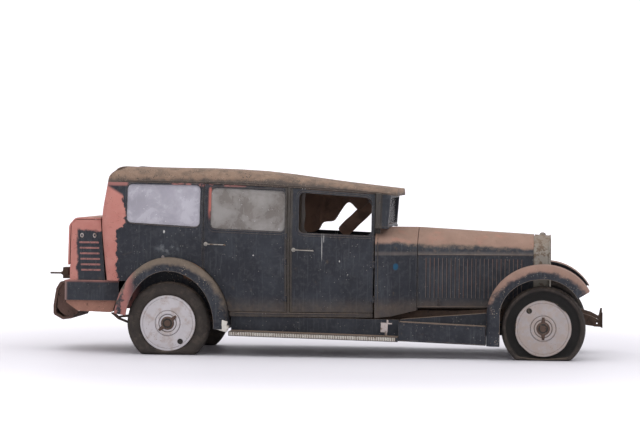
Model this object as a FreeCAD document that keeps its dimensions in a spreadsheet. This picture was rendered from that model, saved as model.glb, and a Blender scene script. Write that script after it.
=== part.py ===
"""Closed limousine of the early 1930s, as found: four doors, a trunk behind the body, a separate
frame, a butterfly bonnet and flat tyres.

+X is the way the car drives, +Y is its left-hand side, +Z is up.  The origin lies on the ground
under the middle of its overall length.  All sizes are millimetres.
"""
import FreeCAD
import Part

import math
import os
import re

from FreeCAD import Placement, Rotation, Vector

DIMENSIONS = [
    # chassis
    ("wheelbase", 3650, "front axle to rear axle"),
    ("rear_axle_x", -1448, "rear axle from the origin"),
    ("track", 1440, "between the middles of the tyres on one axle"),
    ("axle_height", 310, "wheel centres above the ground, tyres flat"),
    ("kingpin_y", 610, "kingpins from the centre plane"),
    ("kingpin_post_radius", 25, "round ends of the front axle beam"),
    ("kingpin_radius", 12, "kingpin"),
    ("steering_arm", 170, "kingpin to tie rod eye"),
    ("tie_rod_radius", 13, "tie rod"),
    ("stub_radius", 20, "stub axles and half shafts in the hubs"),
    ("running_fit", 0.05, "radial clearance of a pin or a shaft in its bore"),
    ("rail_y", 375, "middle of each frame rail from the centre plane"),
    ("rail_width", 50, "frame rail across"),
    ("rail_depth", 110, "frame rail from top to bottom"),
    ("rail_top", 448, "top of the rails between the axles"),
    ("kick_up", 100, "rise of the rails over the rear axle"),
    ("front_rise", 26, "rise of the rails behind the front axle"),
    ("rail_rear", 1034, "rail ends behind the rear axle"),
    ("horn_front", 516, "front horns ahead of the front axle"),
    ("horn_eye_z", 345, "spring eye of the front horns"),
    ("eye_radius", 30, "spring eye, outside"),
    ("bumper_bolt_radius", 8, "bumper bracket hole in each front horn"),
    ("bracket_thick", 8, "remains of the bumper brackets, plate"),
    ("bracket_lug", 42, "their turned ends, across"),
    ("spring_width", 52, "leaf spring across"),
    # wheels
    ("rim_radius", 272, "wheel disc and rim flange"),
    ("rim_well", 250, "rim barrel, outside"),
    ("rim_wall", 6, "rim barrel and disc sheet"),
    ("tyre_radius", 407, "tyre, free"),
    ("tyre_width", 164, "tyre section"),
    ("hub_radius", 62, "centre nut"),
    ("hub_reach", 26, "centre nut outside the disc"),
    ("drum_radius", 190, "brake drum"),
    ("drum_width", 66, "brake drum"),
    # cabin
    ("cabin_rear", 688, "rearmost point of the body behind the rear axle"),
    ("quarter_width", 1022, "rearmost point of the body to the rear door"),
    ("rear_door_width", 836, "rear door gap to middle of the centre pillar"),
    ("front_door_width", 835, "middle of the centre pillar to the front door gap"),
    ("pillar_width", 22, "centre pillar between the doors"),
    ("half_width", 752, "half the body at the waist, at its widest"),
    ("rear_taper", 37, "how much narrower each side is at the back"),
    ("screen_taper", 82, "how much narrower each side is at the windscreen"),
    ("sill_tuck", 50, "side in from the waist at the sill"),
    ("rail_tuck", 62, "side in from the waist at the roof rail"),
    ("sill_z", 430, "bottoms of the doors"),
    ("sill_depth", 48, "sill under the doors"),
    ("waist_z", 1080, "widest height of the body sides"),
    ("roof_rail_rear", 1682, "roof rail at the back"),
    ("roof_rail_doors", 1676, "roof rail over the rear door gap"),
    ("roof_rail_centre", 1643, "roof rail over the centre pillar"),
    ("roof_rail_screen", 1584, "roof rail over the windscreen"),
    ("roof_crown", 142, "top of the roof above its rail, at the back"),
    ("corner_share", 0.84, "share of the roof's rise that is its rounded edge"),
    ("peak_crown", 46, "top of the roof above its rail, at the peak"),
    ("peak_reach", 140, "roof peak ahead of the windscreen pillars"),
    ("wall", 34, "doors and body walls"),
    ("rear_corner", 96, "rear corners of the body, radius"),
    ("rear_lean", 52, "back wall in at the roof rail"),
    ("rear_bulge_z", 1330, "height of the rearmost point of the body"),
    ("door_depth_y", 560, "panels reach in from the sides to here"),
    ("gap", 6, "between a moving panel and its frame"),
    ("screen_depth", 72, "front door gap to the line of the windscreen pillars"),
    ("window_corner", 48, "corner radius of the windows"),
    ("glass", 6, "window glass"),
    ("glass_rebate", 12, "how far the glass laps over the edge of its window"),
    # front body
    ("scuttle_length", 332, "windscreen pillar to bonnet"),
    ("cowl_z", 1256, "top of the scuttle"),
    ("bonnet_half_rear", 492, "half the bonnet at the scuttle"),
    ("bonnet_half_front", 334, "half the bonnet at the radiator"),
    ("bonnet_front_z", 1192, "top of the bonnet at the radiator"),
    ("shoulder_z", 1002, "bonnet top and side meet"),
    ("bonnet_bottom_z", 478, "lower edge of the bonnet sides"),
    ("sheet", 5, "bonnet and fender sheet"),
    ("radiator_back", 102, "radiator shell behind the front axle"),
    ("radiator_depth", 152, "radiator shell"),
    ("radiator_core_depth", 80, "radiator core"),
    ("engine_length", 860, "engine block"),
    ("engine_half_width", 215, "engine block"),
    # fenders and boards
    ("fender_outer", 890, "outer edge of the fenders from the centre plane"),
    ("fender_inner", 536, "inner wall of the rear wheel arches"),
    ("front_fender_inner", 448, "inner edge of the front fenders"),
    ("valance", 128, "outer lip of the fenders"),
    ("fender_roll", 88, "radius between crown and lip"),
    ("rear_fender_top", 951, "crown of the rear fenders"),
    ("rear_fender_base", 300, "lower end of the rear fenders' curve"),
    ("rear_fender_back", 538, "rear fender behind the axle"),
    ("rear_fender_ahead", 590, "rear fender ahead of the axle"),
    ("front_fender_top", 918, "crown of the front fenders"),
    ("front_fender_base", 440, "where the front fenders begin to curve"),
    ("front_fender_foot", 134, "lower end of the front fenders"),
    ("front_fender_back", 546, "front fender behind the axle"),
    ("front_fender_ahead", 503, "half axis of the front fenders' fore part"),
    ("front_fender_tip", 441, "front fender tip ahead of the axle"),
    ("board_top", 228, "running board, upper face"),
    ("board_thick", 46, "running board"),
    ("board_outer", 872, "outer edge of the running boards"),
    ("board_length", 1644, "running board"),
    ("splash_y", 668, "splash panels from the centre plane"),
    # tail
    ("trunk_gap", 16, "body to trunk"),
    ("trunk_length", 325, "trunk along the car"),
    ("trunk_half_width", 600, "half the trunk"),
    ("lid_foot", 862, "lower edge of the trunk lid"),
    ("trunk_top", 1328, "top of the trunk"),
    ("trunk_wall", 16, "trunk panels"),
    ("deck_length", 546, "lower rear panel along the car"),
    ("deck_half_width", 622, "half the lower rear panel"),
    ("deck_base", 514, "bottom of the lower rear panel"),
    ("deck_top", 712, "top of the lower rear panel"),
    ("tank_drop", 118, "fuel tank below the lower rear panel"),
    ("apron_half_width", 430, "half the curved rear apron"),
    ("spindle_z", 754, "spare wheel spindle"),
    ("spindle_radius", 9, "spare wheel spindle"),
    ("spindle_reach", 138, "spindle behind its bracket"),
    # cabin inside
    ("floor_top", 472, "front floor"),
    ("floor_thick", 20, "floor boards"),
    ("seat_half_width", 500, "half the rear seat"),
    ("front_seat_half", 590, "half the front seat"),
    ("seat_z", 850, "front seat cushion top"),
    ("rear_seat_z", 900, "rear seat cushion top"),
    ("seat_back_z", 1130, "seat back tops"),
    ("column_y", 330, "steering column from the centre plane"),
    ("column_radius", 22, "steering column"),
    ("column_lean", 38, "steering column from level, degrees"),
    ("wheel_reach", 190, "steering wheel centre behind the windscreen pillars"),
    ("wheel_centre_z", 1010, "steering wheel centre"),
    ("steering_rim", 205, "steering wheel, to the middle of its rim"),
    ("grip_radius", 13, "steering wheel rim"),
]

doc = FreeCAD.newDocument("Limousine")
sheet = doc.addObject("Spreadsheet::Sheet", "Dimensions")
for row, (alias, value, note) in enumerate(DIMENSIONS, start=1):
    sheet.set(f"A{row}", note)
    sheet.set(f"B{row}", str(value))
    sheet.setAlias(f"B{row}", alias)
doc.recompute()


class Sizes:
    """The values of the sheet, by their names."""


size = Sizes()
for alias, _, _ in DIMENSIONS:
    setattr(size, alias, float(sheet.get(alias)))

SIDES = {"right": -1, "left": 1}
subparts = []


# ---------------------------------------------------------------- places worked out from the sheet
front_axle_x = size.rear_axle_x + size.wheelbase
body_rear_x = size.rear_axle_x - size.cabin_rear
rear_gap_x = body_rear_x + size.quarter_width
pillar_x = rear_gap_x + size.rear_door_width
front_gap_x = pillar_x + size.front_door_width
screen_x = front_gap_x + size.screen_depth
bonnet_rear_x = screen_x + size.scuttle_length
radiator_x = front_axle_x - size.radiator_back
fender_foot_x = front_axle_x - size.front_fender_back
arch_front_x = size.rear_axle_x + size.rear_fender_ahead
peak_x = screen_x + size.peak_reach
trunk_front_x = body_rear_x - size.trunk_gap
deck_rear_x = body_rear_x - 367
wheel_face_y = size.track / 2 + size.tyre_width / 2 - 4
bonnet_z = size.cowl_z


def bound(text):
    """An expression for setExpression, with each name of the sheet written in full."""
    names = {alias for alias, _, _ in DIMENSIONS}
    return re.sub(r"[a-z_]+", lambda m: "Dimensions." + m[0] if m[0] in names else m[0], str(text))


def keep(obj, label):
    obj.Label = label
    subparts.append(obj)
    return obj


# ------------------------------------------------------------------------------ outlines and solids
def outline(points):
    """Closed outline through (u, v) or (u, v, corner radius) points, as sketch geometry."""
    ends = []
    for index, point in enumerate(points):
        here = Vector(point[0], point[1], 0)
        radius = point[2] if len(point) > 2 else 0
        if not radius:
            ends.append((here, None, here))
            continue
        before = Vector(*points[index - 1][:2], 0)
        after = Vector(*points[(index + 1) % len(points)][:2], 0)
        back = (before - here).normalize()
        on = (after - here).normalize()
        half = back.getAngle(on) / 2
        reach = radius / math.tan(half)
        middle = (back + on).normalize()
        centre = here + middle * (radius / math.sin(half))
        ends.append((here + back * reach, centre - middle * radius, here + on * reach))
    edges = []
    for index, (start, middle, end) in enumerate(ends):
        if middle:
            edges.append(Part.Arc(start, middle, end))
        following = ends[(index + 1) % len(ends)][0]
        if (following - end).Length > 1e-6:
            edges.append(Part.LineSegment(end, following))
    return edges


def circle(u, v, radius):
    return [Part.Circle(Vector(u, v, 0), Vector(0, 0, 1), radius)]


def new_body(label):
    body = doc.addObject("PartDesign::Body", label)
    body.AllowCompound = True
    return keep(body, label)


def sketch(body, role, offset, edges):
    """A sketch on one of the body's own planes, moved along the plane's normal."""
    plane = [item for item in body.Origin.OriginFeatures if item.Role == role][0]
    drawn = body.newObject("Sketcher::SketchObject", body.Name + "_sketch")
    drawn.AttachmentSupport = [(plane, "")]
    drawn.MapMode = "FlatFace"
    drawn.setExpression("AttachmentOffset.Base.z", bound(offset))
    for edge in edges:
        drawn.addGeometry(edge, False)
    return drawn


def pad(body, role, offset, length, edges):
    """Pad from offset towards the plane's normal (XZ_Plane: from +Y towards -Y)."""
    feature = body.newObject("PartDesign::Pad", body.Name + "_pad")
    feature.Profile = sketch(body, role, offset, edges)
    feature.setExpression("Length", bound(length))
    return feature


def pad_y(body, low, high, edges):
    """Pad an X-Z outline from y = low to y = high."""
    return pad(body, "XZ_Plane", f"-({high})", f"({high}) - ({low})", edges)


def pocket(body, role, offset, length, edges, both_ways=False):
    feature = body.newObject("PartDesign::Pocket", body.Name + "_pocket")
    feature.Profile = sketch(body, role, offset, edges)
    feature.setExpression("Length", bound(length))
    feature.Midplane = both_ways
    return feature


def turned(body, edges):
    """Solid of revolution about the body's own Y axis; the outline is (y, radius)."""
    drawn = sketch(body, "YZ_Plane", 0, edges)
    feature = body.newObject("PartDesign::Revolution", body.Name + "_turned")
    feature.Profile = drawn
    feature.ReferenceAxis = (drawn, ["H_Axis"])
    feature.Angle = 360
    return feature


def place(obj, **expressions):
    for axis, text in expressions.items():
        obj.setExpression(f"Placement.Base.{axis}", bound(text))
    return obj


def prism(name, points, low, high, holes=()):
    """X-Z outline with holes, extruded from y = low to y = high."""
    drawn = doc.addObject("Sketcher::SketchObject", name + "_outline")
    for edge in outline(points):
        drawn.addGeometry(edge, False)
    for hole in holes:
        for edge in outline(hole):
            drawn.addGeometry(edge, False)
    drawn.Placement = Placement(Vector(0, high, 0), Rotation(Vector(1, 0, 0), 90))
    solid = doc.addObject("Part::Extrusion", name)
    solid.Base = drawn
    solid.DirMode = "Custom"
    solid.Dir = Vector(0, -1, 0)
    solid.LengthFwd = high - low
    solid.Solid = True
    return solid


def common(label, first, second):
    joined = doc.addObject("Part::Common", label)
    joined.Base = first
    joined.Tool = second
    return joined


def cut(label, first, second):
    left = doc.addObject("Part::Cut", label)
    left.Base = first
    left.Tool = second
    return left


def fuse(label, pieces):
    whole = doc.addObject("Part::MultiFuse", label)
    whole.Shapes = pieces
    whole.Refine = True
    return whole


def plain(name, shape):
    """A shape made with Part's own functions, for what no feature of the workbenches makes."""
    feature = doc.addObject("Part::Feature", name)
    feature.Shape = shape
    return feature


# -------------------------------------------------------------------------------- the cabin's shape
def rail_height(x):
    """Height of the roof rail, straight between the body's uprights."""
    line = [
        (body_rear_x - 100, size.roof_rail_rear),
        (rear_gap_x, size.roof_rail_doors),
        (pillar_x, size.roof_rail_centre),
        (screen_x, size.roof_rail_screen),
        (peak_x + 40, size.roof_rail_screen - 20),
    ]
    for (x0, z0), (x1, z1) in zip(line, line[1:]):
        if x <= x1:
            return z0 + (z1 - z0) * (x - x0) / (x1 - x0)
    return line[-1][1]


def side_width(x, inset):
    """Half width of the body at its waist: narrower towards the back and the windscreen."""
    if x < rear_gap_x:
        share = (rear_gap_x - x) / size.quarter_width
        taper = size.rear_taper * share ** 2
    else:
        share = max(0, x - pillar_x + 300) / (screen_x - pillar_x + 300)
        taper = size.screen_taper * share ** 1.6
    return size.half_width - taper - inset


def crown_height(x):
    """Rise of the roof's middle above its rail."""
    share = min(1, max(0, x - rear_gap_x - 400) / (peak_x - rear_gap_x - 400))
    return size.roof_crown - (size.roof_crown - size.peak_crown) * math.sin(share * math.pi / 2) ** 1.25


def plan_points(inset, front_x):
    """Half of the body's plan at the waist, from the front to the middle of the back."""
    rear = body_rear_x + inset
    radius = size.rear_corner + 30 - inset * 0.7
    corner_x = rear + radius
    points = []
    steps = 10
    for index in range(steps):
        x = front_x + (corner_x - front_x) * index / steps
        points.append((x, side_width(x, inset), 0))
    flank = side_width(corner_x, inset)
    for degrees in range(0, 91, 10):
        turn = math.radians(degrees)
        x = corner_x - radius * math.sin(turn)
        points.append((x, flank - radius * (1 - math.cos(turn)), turn))
    middle = points[-1][1]
    for share in (0.5, 0.0):
        points.append((rear, middle * share, math.pi / 2))
    return points


def half_hull(inset, lower, front_x):
    """Left half of the closed cabin: one smooth skin over plane faces."""
    rows = []
    plan = plan_points(inset, front_x)
    rear = body_rear_x + inset
    spine_end = rear + 420
    spine_from = rear + 900
    last = len(plan) - 1
    first_rear = next(i for i, point in enumerate(plan) if point[0] < spine_from)
    for index, (x, y, turn) in enumerate(plan):
        rail_z = rail_height(x) - inset * 0.6
        rise = crown_height(x) - inset * 0.4
        inward = Vector(math.sin(turn), -math.cos(turn), 0)
        across = math.cos(turn) ** 2
        row = []
        for share in (0.0, 0.25, 0.5, 0.75, 1.0):
            z = lower + (rail_z - lower) * share
            if z < size.waist_z:
                side = size.sill_tuck * ((size.waist_z - z) / (size.waist_z - size.sill_z)) ** 2
            else:
                side = size.rail_tuck * ((z - size.waist_z) / (rail_z - size.waist_z)) ** 2
            lean = size.rear_lean * abs((z - size.rear_bulge_z) / (rail_z - size.rear_bulge_z)) ** 1.7
            if z < size.rear_bulge_z:
                lean *= 0.4
            tuck = side * across + lean * (1 - across)
            row.append(Vector(x, y, z) + inward * tuck)
        corner = rise * size.corner_share
        for degrees in (30, 62):
            bend = math.radians(degrees)
            point = row[4] + inward * (corner * (1 - math.cos(bend)))
            row.append(Vector(point.x, point.y, rail_z + corner * math.sin(bend)))
        if index < first_rear:
            spine_x = x
        else:
            spine_x = plan[first_rear][0]
            spine_x += (spine_end - spine_x) * (index - first_rear) / (last - first_rear)
        top = rail_height(spine_x) + crown_height(spine_x) - inset
        edge = row[6]
        for share in (0.5, 1.0):
            point = edge + (Vector(spine_x, 0, edge.z) - edge) * share
            row.append(Vector(point.x, point.y, edge.z + (top - edge.z) * (1 - (1 - share) ** 2.4)))
        row[-1].y = 0
        if index == last:
            for point in row:
                point.y = 0
        rows.append(row)
    for point in rows[0]:
        point.x = front_x
    ribs = []
    for row in rows:
        rib = Part.BSplineCurve()
        rib.interpolate(Points=row)
        ribs.append(Part.Wire(rib.toShape()))
    skin = Part.makeLoft(ribs, False, True)
    faces = list(skin.Faces)
    foot = Vector(front_x, 0, lower)
    heel = Vector(rows[-1][0].x, 0, lower)
    head = rows[0][-1]
    base = [row[0] for row in rows]
    spine = [row[-1] for row in rows]
    front_edges = [ribs[0].Edges[0], Part.LineSegment(foot, base[0]).toShape()]
    front_edges.append(Part.LineSegment(foot, head).toShape())
    faces.append(Part.Face(Part.Wire(Part.__sortEdges__(front_edges))))
    faces.append(Part.Face(Part.makePolygon([foot] + base + [foot])))
    middle = Part.makePolygon([heel, foot, head] + spine[1:]).Edges
    faces.append(Part.Face(Part.Wire(Part.__sortEdges__(middle + [ribs[-1].Edges[0]]))))
    shell = Part.makeShell(faces)
    shell.sewShape()
    solid = Part.makeSolid(shell)
    if solid.Volume < 0:
        solid.reverse()
    return solid


def cabin_hull(inset, lower, front_x):
    """The whole closed cabin as one solid, each wall moved in by inset."""
    left = half_hull(inset, lower, front_x)
    right = left.mirror(Vector(0, 0, 0), Vector(0, 1, 0))
    return left.fuse(right).removeSplitter()


# --------------------------------------------------------------------------------- the cabin panels
sill_bottom = size.sill_z - size.sill_depth
outer_hull = cabin_hull(0, sill_bottom, peak_x)
inner_hull = cabin_hull(size.wall, sill_bottom - 60, screen_x + 20)
shell = plain("cabin_shell", outer_hull.cut(inner_hull))
wide = size.half_width + 60
rail_line = [
    (body_rear_x - 200, size.roof_rail_rear),
    (rear_gap_x, size.roof_rail_doors),
    (pillar_x, size.roof_rail_centre),
    (screen_x, size.roof_rail_screen),
]


def arch_points(clearance, foot_z):
    """Outline under the rear fender's crown, two quarter ellipses on short upright lines."""
    centre = size.rear_axle_x
    top = size.rear_fender_top + clearance - size.rear_fender_base
    points = [(centre - size.rear_fender_back - clearance, foot_z)]
    for degrees in range(0, 91, 6):
        turn = math.radians(degrees)
        x = centre - (size.rear_fender_back + clearance) * math.cos(turn)
        points.append((x, size.rear_fender_base + top * math.sin(turn)))
    for degrees in range(84, -1, -6):
        turn = math.radians(degrees)
        x = centre + (size.rear_fender_ahead + clearance) * math.cos(turn)
        points.append((x, size.rear_fender_base + top * math.sin(turn)))
    points.append((points[-1][0], foot_z))
    return points


def window(rear, front, rear_low, rear_high, front_low, front_high):
    """Window opening with its own slopes at sill and head."""
    radius = size.window_corner
    return [
        (rear, rear_low, radius),
        (front, front_low, radius),
        (front, front_high, radius),
        (rear, rear_high, radius),
    ]


quarter_window = window(rear_gap_x - 762, rear_gap_x - 36, 1288, 1664, 1250, 1656)
rear_window = window(rear_gap_x + 72, pillar_x - 38, 1240, 1636, 1213, 1608)
front_window = window(pillar_x + 97, front_gap_x - 32, 1206, 1597, 1181, 1546)


def lapped(opening, lap):
    """The opening's corners moved out by lap, for the glass that covers it."""
    middle_x = sum(point[0] for point in opening) / 4
    middle_z = sum(point[1] for point in opening) / 4
    wider = []
    for x, z, radius in opening:
        along = lap if x > middle_x else -lap
        up = lap if z > middle_z else -lap
        wider.append((x + along, z + up, radius))
    return wider


def side_panel(label, side, points, holes=(), arch_clearance=None):
    """A panel or door of one side, cut out of the cabin's shell."""
    low, high = (-wide, -size.door_depth_y) if side < 0 else (size.door_depth_y, wide)
    region = prism(label + "_region", points, low, high, holes)
    panel = common(label + "_blank", shell, region)
    if arch_clearance is not None:
        arch = prism(label + "_arch", arch_points(arch_clearance, 200), low, high)
        panel = cut(label + "_cut", panel, arch)
    return keep(panel, label)


def rail_at(x, below):
    return (x, rail_height(x) - below)


half_gap = size.gap / 2
arch_fit = 2.0
for name, side in SIDES.items():
    quarter = [
        (body_rear_x - 200, size.deck_top + 2),
        (size.rear_axle_x - 400, size.deck_top + 2),
        (size.rear_axle_x - 400, size.sill_z),
        (rear_gap_x - half_gap, size.sill_z),
        rail_at(rear_gap_x - half_gap, 0.3),
        (body_rear_x - 200, size.roof_rail_rear - 0.3),
    ]
    region = side_panel(f"{name}_quarter_whole", side, quarter, [quarter_window], arch_fit)
    subparts.remove(region)
    edge = doc.addObject("Part::Box", f"{name}_back_space")
    edge.setExpression("Length", bound("rear_corner * 2"))
    edge.setExpression("Width", bound("(half_width - rear_taper - rear_corner - 60) * 2"))
    edge.Height = 2000
    place(edge, x=body_rear_x - 40, y="-(half_width - rear_taper - rear_corner - 60)")
    keep(cut(f"{name}_quarter_panel", region, edge), f"{name}_quarter_panel")
    rear_door = [
        (rear_gap_x + half_gap, size.sill_z),
        (pillar_x - size.pillar_width / 2 - size.gap, size.sill_z),
        rail_at(pillar_x - size.pillar_width / 2 - size.gap, size.gap),
        rail_at(rear_gap_x + half_gap, size.gap),
    ]
    side_panel(f"{name}_rear_door", side, rear_door, [rear_window], size.gap + 3)
    front_door = [
        (pillar_x + size.pillar_width / 2 + size.gap, size.sill_z),
        (front_gap_x - 16, size.sill_z),
        rail_at(front_gap_x, size.gap),
        rail_at(pillar_x + size.pillar_width / 2 + size.gap, size.gap),
    ]
    side_panel(f"{name}_front_door", side, front_door, [front_window])

back_half = size.half_width - size.rear_taper - size.rear_corner - 60.5
back_region = prism(
    "back_region",
    [
        (body_rear_x - 200, size.deck_top + 2),
        (body_rear_x + 150, size.deck_top + 2),
        (body_rear_x + 150, size.roof_rail_rear - 0.3),
        (body_rear_x - 200, size.roof_rail_rear - 0.3),
    ],
    -back_half,
    back_half,
)
back_wall = common("back_wall", shell, back_region)
back_light = doc.addObject("Part::Box", "back_light")
back_light.Length = 300
back_light.Width = 640
back_light.Height = 215
place(back_light, x=body_rear_x - 40, y=-320, z=1370)
keep(cut("back_panel", back_wall, back_light), "back_panel")

# pillars and sills between the doors: one frame on each side
frames = []
for name, side in SIDES.items():
    low, high = (-wide, -40) if side < 0 else (40, wide)
    half = size.pillar_width / 2
    points = [
        (arch_front_x + 4, sill_bottom),
        (front_gap_x - 16, sill_bottom),
        (front_gap_x - 16, size.sill_z - size.gap),
        (pillar_x + half, size.sill_z - size.gap),
        rail_at(pillar_x + half, 0.3),
        rail_at(pillar_x - half, 0.3),
        (pillar_x - half, size.sill_z - size.gap),
        (arch_front_x + 4, size.sill_z - size.gap),
    ]
    frames.append(common(f"{name}_frame", shell, prism(f"{name}_frame_region", points, low, high)))
door_frames = doc.addObject("Part::Compound", "door_frames")
door_frames.Links = frames
keep(door_frames, "door_frames")

# roof with its peak
roof_region = prism(
    "roof_region",
    rail_line[:1] + rail_line[1:] + [(peak_x + 60, size.roof_rail_screen - 22)]
    + [(peak_x + 60, 2300), (body_rear_x - 200, 2300)],
    -wide - 80,
    wide + 80,
)
keep(common("roof", shell, roof_region), "roof")

# windscreen frame: two posts, a header and a lower bar
screen_region = prism(
    "screen_region",
    [
        (front_gap_x + size.gap, size.cowl_z + 6),
        (screen_x + 56, size.cowl_z + 6),
        (screen_x + 82, size.roof_rail_screen - 6),
        (screen_x, size.roof_rail_screen - 0.3),
        rail_at(front_gap_x + size.gap, 0.3),
    ],
    -wide,
    wide,
)
screen_block = common("screen_block", plain("cabin_solid", outer_hull), screen_region)
screen_half = size.half_width - size.screen_taper - size.rail_tuck - 46
screen_space = prism(
    "screen_space",
    [
        (front_gap_x - 20, size.cowl_z - 20),
        (screen_x + 12, size.cowl_z - 20),
        (screen_x + 12, size.cowl_z + 34),
        (screen_x + 160, size.cowl_z + 34),
        (screen_x + 160, size.roof_rail_screen - 36),
        (front_gap_x - 20, size.roof_rail_screen - 36),
    ],
    -screen_half,
    screen_half,
)
keep(cut("windscreen_frame", screen_block, screen_space), "windscreen_frame")

# fixed and door glass, thin plates laid inside the body's curve
def glass_panes(label, opening, sides, depth):
    """Curved panes behind an opening: a thin skin of the cabin between two insets."""
    panes = []
    for side in sides:
        low, high = (-wide, -40) if side < 0 else (40, wide)
        region = prism(f"{label}_region", lapped(opening, -0.5), low, high)
        panes.append(common(f"{label}_pane", depth, region))
    return panes


skin_inset = size.wall * 0.4
glass_skin = plain(
    "glass_skin",
    cabin_hull(skin_inset, sill_bottom, screen_x + 10).cut(
        cabin_hull(skin_inset + size.glass, sill_bottom - 60, screen_x + 30)
    ),
)
back_glass_space = doc.addObject("Part::Box", "back_glass_space")
back_glass_space.Length = 300
back_glass_space.Width = 639
back_glass_space.Height = 214
place(back_glass_space, x=body_rear_x - 40, y=-319.5, z=1370.5)
fixed = glass_panes("quarter_glass", quarter_window, (-1, 1), glass_skin)
fixed.append(common("back_glass", glass_skin, back_glass_space))
screen_glass = doc.addObject("Part::Box", "screen_glass")
screen_glass.setExpression("Length", bound("glass"))
screen_glass.Width = 2 * screen_half - 1
screen_glass.Height = size.roof_rail_screen - size.cowl_z - 71
place(screen_glass, x=screen_x + 40, y=-screen_half + 0.5, z=size.cowl_z + 34.5)
fixed.append(screen_glass)
fixed_glass = doc.addObject("Part::Compound", "fixed_glass")
fixed_glass.Links = fixed
keep(fixed_glass, "fixed_glass")
for name, side in SIDES.items():
    pane = glass_panes(f"{name}_rear_door_glass", rear_window, (side,), glass_skin)[0]
    keep(pane, f"{name}_rear_door_glass")


# --------------------------------------------------------------------------------- scuttle, bonnet
def nose_section(x, half, top, shoulder, foot, thickness):
    """Closed thin Y-Z section across the car: upright sides and a rounded top, open below."""
    def arch(inset):
        half_in = half - inset
        points = [
            Vector(x, -half_in, foot),
            Vector(x, -half_in, shoulder),
            Vector(x, -half_in * 0.80, shoulder + (top - shoulder) * 0.62 - inset * 0.7),
            Vector(x, 0, top - inset),
        ]
        points += [Vector(x, -point.y, point.z) for point in points[-2::-1]]
        side_a = Part.LineSegment(points[0], points[1]).toShape()
        crown = Part.BSplineCurve()
        crown.interpolate(Points=points[1:-1], InitialTangent=Vector(0, 0.25, 1), FinalTangent=Vector(0, 0.25, -1))
        side_b = Part.LineSegment(points[-2], points[-1]).toShape()
        return points, [side_a, crown.toShape(), side_b]

    outer_points, outer_edges = arch(0)
    if not thickness:
        outer_edges.append(Part.LineSegment(outer_points[-1], outer_points[0]).toShape())
        return Part.Wire(outer_edges)
    inner_points, inner_edges = arch(thickness)
    foot_a = Part.LineSegment(outer_points[0], inner_points[0]).toShape()
    foot_b = Part.LineSegment(outer_points[-1], inner_points[-1]).toShape()
    return Part.Wire(Part.__sortEdges__(outer_edges + [foot_b] + inner_edges + [foot_a]))


scuttle_rear_x = front_gap_x + size.gap
waist_front = size.half_width - size.screen_taper
scuttle_shells = []
for inset, start, end in ((0, 0, 0), (14, 5, -14)):
    scuttle_shells.append(
        Part.makeLoft(
            [
                nose_section(scuttle_rear_x - start, waist_front + 6 - inset, size.cowl_z - 2 - inset,
                             size.cowl_z - 130, sill_bottom - start, 0),
                nose_section(screen_x + 90, waist_front - 26 - inset, size.cowl_z - inset,
                             size.cowl_z - 170, sill_bottom + 16 - start, 0),
                nose_section(bonnet_rear_x + end, size.bonnet_half_rear - inset, size.cowl_z - inset,
                             size.shoulder_z, size.bonnet_bottom_z - 26 - start, 0),
            ],
            True,
            True,
        )
    )
keep(plain("scuttle", scuttle_shells[0].cut(scuttle_shells[1])), "scuttle")


def bonnet_line(x):
    """Half width and top height of the bonnet at x."""
    share = (x - bonnet_rear_x) / (radiator_x - bonnet_rear_x)
    half = size.bonnet_half_rear + (size.bonnet_half_front - size.bonnet_half_rear) * share
    top = size.cowl_z + (size.bonnet_front_z - size.cowl_z) * share
    return half, top


bonnet_from = bonnet_rear_x + size.gap
bonnet_to = radiator_x - size.gap
bonnet_cover = []
for inset in (0, size.sheet):
    stations = []
    for x in (bonnet_from, bonnet_to):
        half, top = bonnet_line(x)
        stations.append(nose_section(x, half - inset, top - inset, size.shoulder_z, size.bonnet_bottom_z - inset, 0))
    bonnet_cover.append(Part.makeLoft(stations, True, True))
bonnet_shell = plain("bonnet_shell", bonnet_cover[0].cut(bonnet_cover[1]))
for name, side in SIDES.items():
    top_space = doc.addObject("Part::Box", f"{name}_bonnet_top_space")
    top_space.Length = bonnet_to - bonnet_from
    top_space.Width = 600
    top_space.Height = 400
    place(top_space, x=bonnet_from, y=half_gap if side > 0 else -600 - half_gap, z="shoulder_z")
    keep(common(f"{name}_bonnet_top", bonnet_shell, top_space), f"{name}_bonnet_top")
    side_space = doc.addObject("Part::Box", f"{name}_bonnet_side_space")
    side_space.Length = bonnet_to - bonnet_from
    side_space.Width = 380
    side_space.setExpression("Height", bound("shoulder_z - bonnet_bottom_z - gap"))
    place(side_space, x=bonnet_from, y=220 if side > 0 else -600, z="bonnet_bottom_z")
    keep(common(f"{name}_bonnet_side", bonnet_shell, side_space), f"{name}_bonnet_side")

# radiator shell, open towards the front round its core
shells = []
for inset, start, end in ((0, 0, 0), (26, -30, 30)):
    half, top = bonnet_line(radiator_x)
    shells.append(
        Part.makeLoft(
            [
                nose_section(radiator_x + start, half - inset, top + 4 - inset, size.shoulder_z, 441, 0),
                nose_section(radiator_x + size.radiator_depth + end, half - 12 - inset, top - 6 - inset,
                             size.shoulder_z - 6, 441, 0),
            ],
            True,
            True,
        )
    )
keep(plain("radiator_shell", shells[0].cut(shells[1])), "radiator_shell")
core_depth = size.radiator_core_depth
core = nose_section(radiator_x + 30, size.bonnet_half_front - 40, size.bonnet_front_z - 34, size.shoulder_z - 12, 441, 0)
keep(plain("radiator_core", Part.Face(core).extrude(Vector(core_depth, 0, 0))), "radiator_core")


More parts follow.
